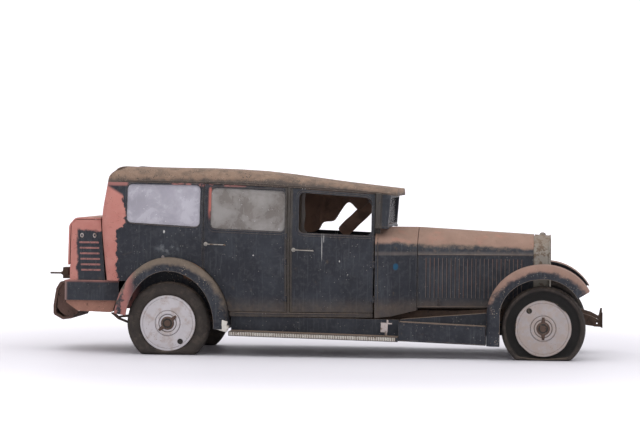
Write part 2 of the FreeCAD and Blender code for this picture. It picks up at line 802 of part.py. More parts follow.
# ------------------------------------------------------------------------------------------ chassis
rails = new_body("frame_rails")
mid_low = size.rail_top - size.rail_depth
rise = size.front_rise
kick = size.kick_up
rear_end = size.rear_axle_x - size.rail_rear
horn_x = front_axle_x + size.horn_front
horn_z = size.horn_eye_z
bracket_end = -body_rear_x + size.spindle_reach + 498 - horn_x
depth = size.rail_depth
rail_outline = [
    (rear_end, size.deck_base + 2, 0),
    (body_rear_x + 150, size.deck_base + 2, 0),
    (body_rear_x + 250, mid_low + kick, 40),
    (rear_gap_x - 20, mid_low + kick, 60),
    (rear_gap_x + 190, mid_low, 60),
    (bonnet_rear_x + 400, mid_low, 60),
    (front_axle_x - 420, mid_low + rise, 60),
    (front_axle_x + 130, mid_low + rise, 60),
    (horn_x - 36, horn_z - 26, 20),
    (horn_x + 26, horn_z - 30, 14),
    (horn_x + 26, horn_z + 30, 20),
    (horn_x - 60, horn_z + 74, 60),
    (front_axle_x + 260, size.rail_top + rise, 80),
    (front_axle_x - 420, size.rail_top + rise, 60),
    (bonnet_rear_x + 400, size.rail_top, 60),
    (rear_gap_x + 190, size.rail_top, 60),
    (rear_gap_x - 20, size.rail_top + kick, 60),
    (rear_end, size.rail_top + kick, 0),
]
for side in SIDES.values():
    middle = f"{side} * rail_y"
    pad_y(rails, f"{middle} - rail_width / 2", f"{middle} + rail_width / 2", outline(rail_outline))
bolt = circle(horn_x, horn_z, size.bumper_bolt_radius)
pocket(rails, "XZ_Plane", 0, "rail_y * 4", bolt, True)

# what is left of the bumper's brackets: a plate bolted to each horn, its end turned outwards
brackets = new_body("bumper_brackets")
plate = outline([
    (horn_x - 78, horn_z + 46, 6),
    (horn_x - 30, horn_z - 30, 10),
    (horn_x + 26, horn_z - 32, 10),
    (horn_x + bracket_end, horn_z - 42, 0),
    (horn_x + bracket_end, horn_z + 110, 0),
    (horn_x + 34, horn_z + 110, 0),
    (horn_x + 20, horn_z + 34, 20),
    (horn_x - 20, horn_z + 30, 20),
    (horn_x - 52, horn_z + 76, 6),
])
lug_x = horn_x + bracket_end - size.bracket_thick
lug = outline([
    (lug_x, horn_z - 42),
    (lug_x + size.bracket_thick, horn_z - 42),
    (lug_x + size.bracket_thick, horn_z + 110),
    (lug_x, horn_z + 110),
])
for side in SIDES.values():
    for across, edges in (("bracket_thick", plate), ("bracket_lug", lug)):
        middle = f"{side} * (rail_y + rail_width / 2 + {across} / 2)"
        pad_y(brackets, f"{middle} - {across} / 2", f"{middle} + {across} / 2", edges)
pocket(brackets, "XZ_Plane", 0, "rail_y * 4", bolt, True)

members = new_body("cross_members")
inner_rail = "rail_y - rail_width / 2"
cross_places = (
    (rear_end + 30, size.deck_base + 4, 60, 24),
    (rear_gap_x + 330, mid_low + 34, 70, 70),
    (pillar_x + 520, mid_low + 10, 70, 80),
    (radiator_x + 10, mid_low + rise, 110, 48),
)
for x, z, length, height in cross_places:
    edges = outline([(x, z), (x + length, z), (x + length, z + height), (x, z + height)])
    pad_y(members, f"-({inner_rail})", inner_rail, edges)


def leaf_spring(body, side, x_low, x_high, ends_z, middle_z, thick):
    """A bowed pack of leaves, its eyes at both ends."""
    middle_x = (x_low + x_high) / 2
    under = Part.Arc(Vector(x_low, ends_z, 0), Vector(middle_x, middle_z, 0), Vector(x_high, ends_z, 0))
    over = Part.Arc(
        Vector(x_low, ends_z + thick * 0.4, 0),
        Vector(middle_x, middle_z + thick, 0),
        Vector(x_high, ends_z + thick * 0.4, 0),
    )
    close_a = Part.LineSegment(Vector(x_low, ends_z, 0), Vector(x_low, ends_z + thick * 0.4, 0))
    close_b = Part.LineSegment(Vector(x_high, ends_z, 0), Vector(x_high, ends_z + thick * 0.4, 0))
    middle = f"{side} * rail_y"
    edges = [under, over, close_a, close_b]
    pad_y(body, f"{middle} - spring_width / 2", f"{middle} + spring_width / 2", edges)


springs = new_body("leaf_springs")
beam_top = size.axle_height - 6
axle_top = size.axle_height + 52
for side in SIDES.values():
    leaf_spring(springs, side, front_axle_x - 470, front_axle_x + 398, beam_top + 4, beam_top + 1, 40)
    leaf_spring(springs, side, size.rear_axle_x - 570, size.rear_axle_x + 470, axle_top - 30, axle_top - 8, 40)

# front axle: a dropped beam with an eye for each kingpin
axle = new_body("front_axle")
beam = outline([(-34, beam_top - 62, 8), (34, beam_top - 62, 8), (34, beam_top, 8), (-34, beam_top, 8)])
pad_y(axle, "-(kingpin_y - 24)", "kingpin_y - 24", beam)
for side in SIDES.values():
    post = circle(0, side * size.kingpin_y, size.kingpin_post_radius)
    pad(axle, "XY_Plane", beam_top - 62, size.axle_height + 46 - (beam_top - 62), post)
for side in SIDES.values():
    pin = circle(0, side * size.kingpin_y, size.kingpin_radius)
    pocket(axle, "XY_Plane", size.axle_height + 60, 300, pin)
place(axle, x="rear_axle_x + wheelbase")

# rear axle: casing, tube and torque tube
rear_axle = new_body("rear_axle")
casing = turned(rear_axle, [
    Part.LineSegment(Vector(-560, 0, 0), Vector(-560, 40, 0)),
    Part.LineSegment(Vector(-560, 40, 0), Vector(-150, 46, 0)),
    Part.LineSegment(Vector(-150, 46, 0), Vector(-92, 118, 0)),
    Part.LineSegment(Vector(-92, 118, 0), Vector(-30, 148, 0)),
    Part.LineSegment(Vector(-30, 148, 0), Vector(30, 148, 0)),
    Part.LineSegment(Vector(30, 148, 0), Vector(92, 118, 0)),
    Part.LineSegment(Vector(92, 118, 0), Vector(150, 46, 0)),
    Part.LineSegment(Vector(150, 46, 0), Vector(560, 40, 0)),
    Part.LineSegment(Vector(560, 40, 0), Vector(560, 0, 0)),
    Part.LineSegment(Vector(560, 0, 0), Vector(-560, 0, 0)),
])
for side in SIDES.values():
    low = "560 - 1" if side > 0 else "-(track / 2) + 30"
    high = "track / 2 - 30" if side > 0 else "-559"
    pad_y(rear_axle, low, high, circle(0, 0, size.stub_radius))
tube = pad(rear_axle, "YZ_Plane", 60, 1500, circle(0, 20, 38))
place(rear_axle, x="rear_axle_x", z="axle_height")

# kingpins, stub axles, steering arms
for name, side in SIDES.items():
    knuckle = new_body(f"{name}_knuckle")
    ears_z = size.axle_height + 46.3
    foot_z = beam_top - 62.3
    for z in (ears_z, foot_z - 16):
        plate = outline([(-30, side * (size.kingpin_y - 24), 0), (30, side * (size.kingpin_y - 24), 0),
                         (30, side * (size.kingpin_y + 38), 0), (-30, side * (size.kingpin_y + 38), 0)])
        pad(knuckle, "XY_Plane", z, 16, plate)
    web = outline([(-30, foot_z - 16), (30, foot_z - 16), (30, ears_z + 16), (-30, ears_z + 16)])
    low = f"{side} * (kingpin_y + 34) - 6"
    pad_y(knuckle, low, f"{side} * (kingpin_y + 34) + 6", web)
    pin = circle(0, side * size.kingpin_y, size.kingpin_radius - size.running_fit)
    pad(knuckle, "XY_Plane", foot_z - 1, ears_z - foot_z + 2, pin)
    reach = [size.kingpin_y + 39, size.track / 2 + 30]
    ends = sorted(side * value for value in reach)
    pad_y(knuckle, ends[0], ends[1], circle(0, size.axle_height, size.stub_radius))
    arm = outline([
        (20, side * (size.kingpin_y - 22)), (20, side * (size.kingpin_y + 20)),
        (-size.steering_arm - 22, side * (size.kingpin_y + 18)), (-size.steering_arm - 22, side * (size.kingpin_y - 18)),
    ])
    pad(knuckle, "XY_Plane", foot_z - 30, 15, arm)
    eye = circle(-size.steering_arm, side * size.kingpin_y, 9 + size.running_fit)
    pocket(knuckle, "XY_Plane", foot_z - 10, 30, eye)
    place(knuckle, x="rear_axle_x + wheelbase")

rod = new_body("tie_rod")
rod_z = beam_top - 62.3 - 30
pad_y(rod, "-kingpin_y - 16", "kingpin_y + 16", circle(-size.steering_arm, rod_z - 18, size.tie_rod_radius))
for side in SIDES.values():
    pin_radius = 9 if side > 0 else 6
    pin = circle(-size.steering_arm, side * size.kingpin_y, pin_radius)
    pad(rod, "XY_Plane", rod_z - 18, 30, pin)
place(rod, x="rear_axle_x + wheelbase")


# ------------------------------------------------------------------------------------------- wheels
def wheel_outline(front):
    """Half section of disc, rim, hub and drum, as (y outwards, radius)."""
    face = wheel_face_y - size.track / 2
    rim = size.rim_radius
    well = size.rim_well
    wall = size.rim_wall
    bore = size.stub_radius + size.running_fit
    shaft_end = 31
    drum = size.drum_radius
    inner = -size.tyre_width / 2 + 16
    return [
        (inner, bore), (inner, drum), (inner + size.drum_width, drum), (inner + size.drum_width, 70),
        (face - 30, 70), (face - 12, well - wall), (inner + 6, well - wall - 6), (inner - 2, rim - 8),
        (inner - 2, rim), (inner + 8, rim), (inner + 14, well), (face - 18, well), (face - 12, rim - 2),
        (face - 4, rim), (face, rim - 6), (face, rim - 22), (face - 5, rim - 26), (face - 5, 128),
        (face + 6, 120), (face + 6, 84), (face, 78), (face, size.hub_radius),
        (face + size.hub_reach, size.hub_radius - 14), (face + size.hub_reach, 0), (shaft_end, 0), (shaft_end, bore),
    ]


def tyre_outline():
    """Half section of a tyre on its rim."""
    half = size.tyre_width / 2
    bead = size.rim_well + size.running_fit
    crown = size.tyre_radius
    return [
        (-48, bead, 0), (-52, size.rim_radius - 4, 6), (-half, (crown + bead) / 2 + 8, 40),
        (-half + 12, crown - 18, 20), (-40, crown, 10), (40, crown, 10), (half - 12, crown - 18, 20),
        (half, (crown + bead) / 2 + 8, 40), (52, size.rim_radius - 4, 6), (48, bead, 0),
    ]


corners = [("front_left", 1, True), ("front_right", -1, True), ("rear_left", 1, False), ("rear_right", -1, False)]
for name, side, front in corners:
    wheel = new_body(f"{name}_wheel")
    points = [(side * y, radius) for y, radius in wheel_outline(front)]
    turned(wheel, outline(points))
    tyre = new_body(f"{name}_tyre")
    turned(tyre, outline([(side * y, radius, bend) for y, radius, bend in tyre_outline()]))
    flat = outline([(-500, -700), (500, -700), (500, -size.axle_height), (-500, -size.axle_height)])
    pocket(tyre, "XZ_Plane", 0, 400, flat, True)
    for part in (wheel, tyre):
        along = "rear_axle_x + wheelbase" if front else "rear_axle_x"
        place(part, x=along, y=f"{side} * track / 2", z="axle_height")


# ------------------------------------------------------------------------------- fenders and boards
def fender_section(origin, normal, side, inner):
    """Closed section square to the path: flat crown, rolled edge and outer lip, sheet thick."""
    roll = size.fender_roll
    outer = size.fender_outer
    thick = size.sheet
    bend = 1 - math.cos(math.radians(45))

    def at(drop, y):
        return origin - normal * drop + Vector(0, side * y, 0)

    small = roll - thick
    edge_y = outer - roll
    edges = [
        Part.LineSegment(at(0, inner), at(0, edge_y)),
        Part.Arc(at(0, edge_y), at(roll * bend, outer - roll * bend), at(roll, outer)),
        Part.LineSegment(at(roll, outer), at(size.valance, outer)),
        Part.LineSegment(at(size.valance, outer), at(size.valance, outer - thick)),
        Part.LineSegment(at(size.valance, outer - thick), at(roll, outer - thick)),
        Part.Arc(
            at(roll, outer - thick),
            at(thick + small * bend, outer - thick - small * bend),
            at(thick, edge_y),
        ),
        Part.LineSegment(at(thick, edge_y), at(thick, inner)),
        Part.LineSegment(at(thick, inner), at(0, inner)),
    ]
    return Part.Wire([edge.toShape() for edge in edges])


def fender_path(foot, knee, spans):
    """Even steps up an upright line from foot to knee, then round quarter ellipses."""
    steps = [(foot + (knee - foot) * (index / 4), None) for index in range(4)]
    path = []
    centre_x, base_z, height = spans[0][:3]
    for point, _ in steps:
        outward = Vector(math.copysign(1, point.x - centre_x), 0, 0)
        path.append((point, outward))
    for centre_x, base_z, height, half, start, end, count in spans:
        for index in range(count):
            turn = math.radians(start + (end - start) * index / (count - 1))
            if path and index == 0 and len(path) > 4:
                continue
            point = Vector(centre_x + half * math.cos(turn), 0, base_z + height * math.sin(turn))
            outward = Vector(math.cos(turn) / half, 0, math.sin(turn) / height).normalize()
            path.append((point, outward))
    return path


def fender_shape(side, inner, path):
    """One fender: its section at even steps along the path, joined by one loft."""
    sections = [fender_section(point, outward, side, inner) for point, outward in path]
    return Part.makeLoft(sections, True, True)


rear_height = size.rear_fender_top - size.rear_fender_base
rear_path = fender_path(
    Vector(arch_front_x, 0, size.rear_fender_base - 38),
    Vector(arch_front_x, 0, size.rear_fender_base),
    [
        (size.rear_axle_x, size.rear_fender_base, rear_height, size.rear_fender_ahead, 0, 90, 16),
        (size.rear_axle_x, size.rear_fender_base, rear_height, size.rear_fender_back, 90, 171, 15),
    ],
)
rear_fenders = []
for side in SIDES.values():
    arch = fender_shape(side, size.fender_inner, rear_path)
    curve_points = arch_points(-size.sheet - 1, size.sill_z)[1:-1]
    wall_points = [Vector(x, 0, z) for x, z in curve_points if z > size.sill_z]
    arch_wall = Part.Face(Part.makePolygon(wall_points + [wall_points[0]]))
    arch_wall.translate(Vector(0, side * size.fender_inner, 0))
    rear_fenders += [arch, arch_wall.extrude(Vector(0, side * size.sheet, 0))]
keep(plain("rear_fenders", Part.makeCompound(rear_fenders)), "rear_fenders")

front_height = size.front_fender_top - size.front_fender_base
tip_turn = math.degrees(math.acos(size.front_fender_tip / size.front_fender_ahead))
front_path = fender_path(
    Vector(fender_foot_x, 0, size.front_fender_foot),
    Vector(fender_foot_x, 0, size.front_fender_base),
    [
        (front_axle_x, size.front_fender_base, front_height, size.front_fender_back, 180, 90, 16),
        (front_axle_x, size.front_fender_base, front_height, size.front_fender_ahead, 90, tip_turn, 11),
    ],
)
front_fenders = [fender_shape(side, size.front_fender_inner, front_path) for side in SIDES.values()]
keep(plain("front_fenders", Part.makeCompound(front_fenders)), "front_fenders")

boards = new_body("running_boards")
board_from = arch_front_x + 16
board_to = board_from + size.board_length
for side in SIDES.values():
    ends = sorted((side * size.splash_y, side * size.board_outer))
    edges = outline([
        (board_from, size.board_top - size.board_thick + 18), (board_to, size.board_top - size.board_thick - 18),
        (board_to, size.board_top - 18, 6), (board_from, size.board_top + 18, 6),
    ])
    pad_y(boards, ends[0], ends[1], edges)
    ends = sorted((side * (size.splash_y - 12), side * size.splash_y))
    edges = outline([
        (board_from, size.board_top - size.board_thick + 18), (board_to, size.board_top - size.board_thick - 18),
        (board_to, sill_bottom - 14), (board_from, sill_bottom - 1),
    ])
    pad_y(boards, ends[0], ends[1], edges)

aprons = new_body("side_aprons")
apron_from = board_to + 4
apron_to = fender_foot_x - 8
for side in SIDES.values():
    ends = sorted((side * (size.splash_y - 60), side * (size.splash_y + 130)))
    edges = outline([(apron_from, 168), (apron_to, 137), (apron_to, 319, 12), (apron_from, 353, 12)])
    pad_y(aprons, ends[0], ends[1], edges)
    ends = sorted((side * (size.splash_y - 170), side * (size.splash_y - 60)))
    edges = outline([(apron_from, 330), (apron_to, 300), (apron_to, 440, 12), (apron_from, 452 - 84, 12)])
    pad_y(aprons, ends[0], ends[1], edges)

# --------------------------------------------------------------------------------------------- tail
trunk = new_body("trunk")
front_low = (trunk_front_x + 44, size.deck_top)
front_high = (trunk_front_x - 2, size.trunk_top - 22)
rear_low = (trunk_front_x - size.trunk_length + 20, size.deck_top)
rear_mid = (trunk_front_x - size.trunk_length + 32, size.trunk_top - 66, 20)
rear_high = (trunk_front_x - size.trunk_length + 78, size.trunk_top - 22, 20)
body_points = [front_low, front_high, rear_high, rear_mid, rear_low]
for side in SIDES.values():
    ends = sorted((side * size.trunk_half_width, side * (size.trunk_half_width - size.trunk_wall)))
    pad_y(trunk, ends[0], ends[1], outline(body_points))
wall_t = size.trunk_wall
pad_y(trunk, "-(trunk_half_width - 1)", "trunk_half_width - 1", outline([
    front_low, front_high, (front_high[0] - wall_t, front_high[1]), (front_low[0] - wall_t, front_low[1]),
]))
pad_y(trunk, "-(trunk_half_width - 1)", "trunk_half_width - 1", outline([
    front_low, (front_low[0], front_low[1] + wall_t), (rear_low[0], rear_low[1] + wall_t), rear_low,
]))
pad_y(trunk, "-(trunk_half_width - 1)", "trunk_half_width - 1", outline([
    rear_low, (rear_low[0] + wall_t, rear_low[1]), (rear_low[0] + wall_t, size.lid_foot - size.gap),
    (rear_low[0], size.lid_foot - size.gap),
]))

lid = new_body("trunk_lid")
outer_line = [
    (front_high[0] + 4, size.trunk_top), (rear_high[0] - 6, size.trunk_top, 70),
    (rear_mid[0] - 24, rear_mid[1] - 10, 60), (rear_low[0] - 21, size.lid_foot),
]
inner_line = [
    (rear_low[0] - 6, size.lid_foot), (rear_mid[0] - 7, rear_mid[1] - 6, 40),
    (rear_high[0] - 2, size.trunk_top - 16, 50), (front_high[0] + 4, size.trunk_top - 16),
]
pad_y(lid, "-trunk_half_width - 2", "trunk_half_width + 2", outline(outer_line + inner_line))

deck = new_body("rear_deck")
deck_front = size.rear_axle_x - size.rear_fender_back + 20
deck_rear = body_rear_x - 367
deck_outline = [(deck_rear, size.deck_base), (deck_front, size.deck_base), (deck_front, size.deck_top), (deck_rear, size.deck_top, 24)]
pad_y(deck, "-deck_half_width", "deck_half_width", outline(deck_outline))
room = outline([
    (deck_rear + 12, size.deck_base - 5), (deck_front + 12, size.deck_base - 5),
    (deck_front + 12, size.deck_top - 12), (deck_rear + 12, size.deck_top - 12),
])
pocket(deck, "XZ_Plane", 0, "(deck_half_width - 12) * 2", room, True)

tank = new_body("fuel_tank")
tank_top = size.deck_base - 1
pad_y(tank, "-deck_half_width + 30", "deck_half_width - 30", outline([
    (deck_rear + 8, tank_top - 22, 20), (deck_rear + 125, tank_top - 106, 30), (deck_front - 70, tank_top - size.tank_drop, 30),
    (deck_front - 30, tank_top, 0), (deck_rear + 8, tank_top, 0),
]))

apron = new_body("rear_apron")
apron_outer = [
    (deck_rear - 84, 686, 30), (deck_rear - 124, 620, 60), (deck_rear - 152, 450, 90), (deck_rear - 150, 360, 30),
    (deck_rear - 56, 309, 30), (deck_rear + 36, 321, 16), (deck_rear + 57, 368, 10),
]
apron_inner = [
    (deck_rear + 40, 380, 8), (deck_rear + 20, 344, 12), (deck_rear - 52, 334, 30), (deck_rear - 124, 374, 20),
    (deck_rear - 126, 450, 70), (deck_rear - 100, 610, 50), (deck_rear - 62, 668, 20), (deck_rear - 1, 676, 0),
    (deck_rear - 1, 700, 0),
]
pad_y(apron, "-apron_half_width", "apron_half_width", outline(apron_outer + apron_inner))

carrier = new_body("spare_wheel_carrier")
box_x = deck_rear - 131
pad_y(carrier, -60, 60, outline([
    (box_x, 702, 6), (deck_rear, 702, 0), (deck_rear, 722, 0), (box_x + 53, 730, 6), (box_x + 53, 814, 6),
    (box_x, 814, 6),
]))
pad(carrier, "YZ_Plane", f"{box_x} - spindle_reach", "spindle_reach + 20", circle(0, size.spindle_z, size.spindle_radius))

# ------------------------------------------------------------------------- floor, seats, power unit
floor = new_body("floor")
front_half = "bonnet_half_rear - 20"
floor_low = size.floor_top - size.floor_thick
toe_x = bonnet_rear_x - 60
step_x = rear_gap_x - 60
raised = size.rail_top + size.kick_up + 4
pad_y(floor, f"-({front_half})", front_half, outline([
    (arch_front_x + 40, floor_low), (toe_x - 160, floor_low), (toe_x, floor_low + 150), (toe_x, floor_low + 176),
    (toe_x - 160, size.floor_top), (arch_front_x + 40, size.floor_top),
]))
pad_y(floor, "-fender_inner + 1", "fender_inner - 1", outline([
    (body_rear_x + 100, raised), (step_x + 268, raised), (step_x + 268, floor_low), (arch_front_x + 41, floor_low),
    (arch_front_x + 41, size.floor_top), (step_x + 288, size.floor_top), (step_x + 288, raised + size.floor_thick),
    (body_rear_x + 100, raised + size.floor_thick),
]))

rear_seat = new_body("rear_seat")
back_x = body_rear_x + size.wall + 142
base = raised + size.floor_thick + 1
pad_y(rear_seat, "-seat_half_width", "seat_half_width", outline([
    (back_x, base), (back_x + 760, base), (back_x + 760, size.rear_seat_z, 40), (back_x + 230, size.rear_seat_z - 20),
    (back_x + 150, size.seat_back_z + 60, 40), (back_x, size.seat_back_z + 60, 30),
]))
front_seat = new_body("front_seat")
seat_x = pillar_x + 60
base = size.floor_top + 1
pad_y(front_seat, "-front_seat_half", "front_seat_half", outline([
    (seat_x, base), (seat_x + 490, base), (seat_x + 500, size.seat_z, 40), (seat_x + 150, size.seat_z - 20),
    (seat_x + 110, size.seat_back_z, 40), (seat_x, size.seat_back_z, 30),
]))
division = new_body("partition")
part_half = f"half_width - rail_tuck - wall - 64"
top = rail_height(pillar_x) - 60
frame_outline = outline([(-600, 0), (600, 0), (600, 0), (-600, 0)])
half = size.half_width - size.rail_tuck - size.wall - 64
pad(division, "YZ_Plane", pillar_x + 20, 26, outline([
    (-half, size.floor_top + 1), (half, size.floor_top + 1), (half, top, 60), (-half, top, 60),
]))
pocket(division, "YZ_Plane", pillar_x, 80, outline([
    (-half + 50, 1150, 40), (half - 50, 1150, 40), (half - 50, top - 50, 40), (-half + 50, top - 50, 40),
]), True)

dash = new_body("dashboard")
dash_half = size.half_width - size.screen_taper - size.wall - 110
pad(dash, "YZ_Plane", screen_x - 20, 22, outline([
    (-dash_half, 940, 60), (dash_half, 940, 60), (dash_half, 1160, 60), (-dash_half, 1160, 60),
]))
post = new_body("steering_column")
column_length = 560
turned(post, outline([(0, 0), (0, size.column_radius), (column_length, size.column_radius), (column_length, 0)]))
lean = math.radians(size.column_lean)
column_axis = Vector(math.cos(lean), 0, -math.sin(lean))
column_end = Vector(screen_x - size.wheel_reach, size.column_y, size.wheel_centre_z)
post.Placement = Placement(column_end, Rotation(Vector(0, 1, 0), column_axis))
grip = new_body("steering_wheel")
turned(grip, circle(-34, size.steering_rim, size.grip_radius))
hub = outline([(-44, 0), (-44, 34), (-1, 40), (-1, 0)])
turned(grip, hub)
rim_y = size.steering_rim
pad(grip, "YZ_Plane", -9, 18, outline([(-40, -rim_y), (-28, -rim_y), (-14, 0), (-28, rim_y), (-40, rim_y), (-30, 0)]))
pad(grip, "XY_Plane", -9, 18, outline([(-rim_y, -40), (0, -30), (rim_y, -40), (rim_y, -28), (0, -14), (-rim_y, -28)]))
grip.Placement = Placement(column_end, Rotation(Vector(0, 1, 0), column_axis))

engine = new_body("engine")
engine_x = radiator_x - 60 - size.engine_length
pad_y(engine, "-engine_half_width", "engine_half_width", outline([
    (engine_x, 470, 20), (engine_x + size.engine_length, 510, 20), (engine_x + size.engine_length, 1040, 30),
    (engine_x, 1060, 30),
]))
exhaust = new_body("exhaust")
pipe_y = 225
silencer_x = pillar_x - 500
pad(exhaust, "YZ_Plane", silencer_x + 898, engine_x + 200 - silencer_x - 898, circle(-pipe_y, 300, 24))
pad(exhaust, "YZ_Plane", silencer_x, 900, circle(-pipe_y, 262, 70))

doc.recompute()

# ------------------------------------------------------------------------------- checks and export
for item in doc.Objects:
    if "Invalid" in item.State or "Error" in item.State:
        raise RuntimeError(f"{item.Name} did not compute: {item.State}")
for part in subparts:
    shape = part.Shape
    if shape.isNull() or not shape.isValid() or not shape.Solids:
        raise RuntimeError(f"{part.Label} is not a sound solid")

os.makedirs("parts", exist_ok=True)
for part in subparts:
    part.Shape.exportStep(os.path.join("parts", part.Label + ".step"))
print(len(subparts), "sub-parts written")
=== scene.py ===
"""Limousine as found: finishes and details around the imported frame. Metres, +X the way it drives, +Z up."""
import math
import random

import bmesh
import bpy
from mathutils import Matrix, Vector


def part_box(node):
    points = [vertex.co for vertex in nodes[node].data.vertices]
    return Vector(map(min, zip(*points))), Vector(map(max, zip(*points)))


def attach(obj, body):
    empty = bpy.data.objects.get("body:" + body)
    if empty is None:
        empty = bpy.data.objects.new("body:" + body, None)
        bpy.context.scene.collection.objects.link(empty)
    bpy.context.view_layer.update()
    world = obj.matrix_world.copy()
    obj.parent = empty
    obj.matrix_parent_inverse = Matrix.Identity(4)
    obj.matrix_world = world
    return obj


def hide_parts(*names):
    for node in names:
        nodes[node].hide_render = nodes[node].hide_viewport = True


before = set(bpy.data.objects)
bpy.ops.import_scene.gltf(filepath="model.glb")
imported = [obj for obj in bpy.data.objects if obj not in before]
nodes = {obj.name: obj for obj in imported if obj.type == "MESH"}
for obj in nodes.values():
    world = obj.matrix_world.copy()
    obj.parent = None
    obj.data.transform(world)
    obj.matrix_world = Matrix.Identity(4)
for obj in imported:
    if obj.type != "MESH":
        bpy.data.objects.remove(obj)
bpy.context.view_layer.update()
scene = bpy.context.scene
chance = random.Random(31)

SIDES = {"left": 1, "right": -1}
REAR_AXLE_X, FRONT_AXLE_X, AXLE_Z, TRACK = -1.448, 2.202, 0.310, 1.440
FENDER_EDGE_Y, LIP_DROP, TRUNK_SIDE_Y = 0.885, 0.1265, 0.6


# ------------------------------------------------------------------------------- camera and studio
def set_camera():
    """A long lens far off the car's right side, at the height of its roof."""
    yaw, pitch, roll = math.radians(5.64), math.radians(0.994), math.radians(0.517)
    ahead = Vector((-math.sin(yaw) * math.cos(pitch), math.cos(yaw) * math.cos(pitch), -math.sin(pitch)))
    right = Vector((math.cos(yaw), math.sin(yaw), 0))
    up = right.cross(ahead)
    right, up = (
        right * math.cos(roll) + up * math.sin(roll),
        up * math.cos(roll) - right * math.sin(roll),
    )
    turn = Matrix((right, up, -ahead)).transposed().to_4x4()
    bpy.ops.object.camera_add()
    camera = bpy.context.object
    camera.name = "camera"
    camera.matrix_world = Matrix.Translation((2.562, -26.388, 1.851)) @ turn
    camera.data.sensor_width = 36
    camera.data.lens = 149.27
    camera.data.clip_end = 200
    scene.camera = camera


def set_lights():
    """A bright even surround with three large soft lamps."""
    world = bpy.data.worlds.new("studio")
    world.use_nodes = True
    back = world.node_tree.nodes["Background"].inputs
    back["Color"].default_value = (1.0, 0.995, 1.0, 1)
    back["Strength"].default_value = 0.92
    scene.world = world
    for name, place, aim, size, power in (
        ("ceiling_light", (0.5, -1.5, 7.5), (0, 0, 0), 11, 430),
        ("side_light", (5.0, -15, 6.0), (0.2, 0, 0.9), 6, 170),
        ("rear_light", (-9, 8, 6), (0, 0, 0.8), 6, 170),
    ):
        bpy.ops.object.light_add(type="AREA", location=place)
        light = bpy.context.object
        light.name = name
        light.data.size = size
        light.data.energy = power
        light.rotation_euler = (Vector(aim) - Vector(place)).to_track_quat("-Z", "Y").to_euler()
    scene.view_settings.view_transform = "Standard"


# ------------------------------------------------------------------------------------ shader tools
def rgb(red, green, blue):
    return (red, green, blue, 1.0)


def add(tree, kind, sockets=None, **settings):
    """One shader node; a socket takes a value or another node's output."""
    made = tree.nodes.new("ShaderNode" + kind)
    for key, value in settings.items():
        setattr(made, key, value)
    for key, value in (sockets or {}).items():
        if isinstance(value, bpy.types.NodeSocket):
            tree.links.new(value, made.inputs[key])
        else:
            made.inputs[key].default_value = value
    return made


def maths(tree, how, one, two=0.0):
    """One sum on two numbers, each a value or a socket."""
    return add(tree, "Math", {0: one, 1: two}, operation=how).outputs[0]


def step(tree, value, low, high, top=1.0):
    """0 below low, top above high, and a smooth rise between."""
    sockets = {"Value": value, "From Min": low, "From Max": high, "To Min": 0.0, "To Max": top}
    return add(tree, "MapRange", sockets, interpolation_type="SMOOTHSTEP").outputs[0]


def tint(tree, mask, under, over):
    """The colour over where the mask is 1, the colour under where it is 0."""
    return add(tree, "Mix", {0: mask, 6: under, 7: over}, data_type="RGBA").outputs[2]


def level(tree, mask, under, over):
    """As tint, for plain numbers."""
    return add(tree, "Mix", {0: mask, 2: under, 3: over}, data_type="FLOAT").outputs[0]


def cloud(tree, place, scale, detail=4.0, rough=0.55, warp=0.0):
    sockets = {"Vector": place, "Scale": scale, "Detail": detail, "Roughness": rough, "Distortion": warp}
    return add(tree, "TexNoise", sockets).outputs[0]


def stretched(tree, place, scale):
    """Places scaled along each axis, to draw a pattern out."""
    return add(tree, "Mapping", {"Vector": place, "Scale": scale}).outputs[0]


def new_group(name, inputs):
    """A node group with one mask as its output, its sockets, and places on the object."""
    tree = bpy.data.node_groups.new(name, "ShaderNodeTree")
    for label, value in inputs.items():
        kind = "NodeSocketFloat" if isinstance(value, float) else "NodeSocketVector"
        tree.interface.new_socket(name=label, in_out="INPUT", socket_type=kind).default_value = value
    tree.interface.new_socket(name="Mask", in_out="OUTPUT", socket_type="NodeSocketFloat")
    place = add(tree, "TexCoord").outputs["Object"]
    return tree, tree.nodes.new("NodeGroupInput").outputs, tree.nodes.new("NodeGroupOutput").inputs, place


def patches_group():
    """Ragged patches that cover a share of the surface."""
    tree, given, out, place = new_group("ragged_patches",
                                        {"Size": 0.2, "Cover": 0.3, "Softness": 0.04, "Shift": 0.0})
    moved = add(tree, "VectorMath", {0: place, 1: given["Shift"]}, operation="ADD").outputs[0]
    scale = maths(tree, "DIVIDE", 1.0, given["Size"])
    field = cloud(tree, moved, scale, 8.0, 0.62, 0.3)
    edge = maths(tree, "SUBTRACT", 0.72, maths(tree, "MULTIPLY", given["Cover"], 0.44))
    low = maths(tree, "SUBTRACT", edge, given["Softness"])
    high = maths(tree, "ADD", edge, given["Softness"])
    tree.links.new(step(tree, field, low, high), out["Mask"])
    return tree


def dust_group():
    """Dust lying on what faces up, broken up where it was wiped."""
    tree, given, out, place = new_group("lying_dust", {"Upward": 0.5, "Amount": 1.0, "Size": 0.08})
    normal = add(tree, "TexCoord").outputs["Normal"]
    facing = add(tree, "SeparateXYZ", {0: normal}).outputs[2]
    broken = cloud(tree, place, maths(tree, "DIVIDE", 1.0, given["Size"]), 9.0, 0.65)
    height = maths(tree, "ADD", facing, maths(tree, "MULTIPLY", maths(tree, "SUBTRACT", broken, 0.5), 1.1))
    low = maths(tree, "SUBTRACT", given["Upward"], 0.22)
    high = maths(tree, "ADD", given["Upward"], 0.22)
    tree.links.new(maths(tree, "MULTIPLY", step(tree, height, low, high), given["Amount"]), out["Mask"])
    return tree


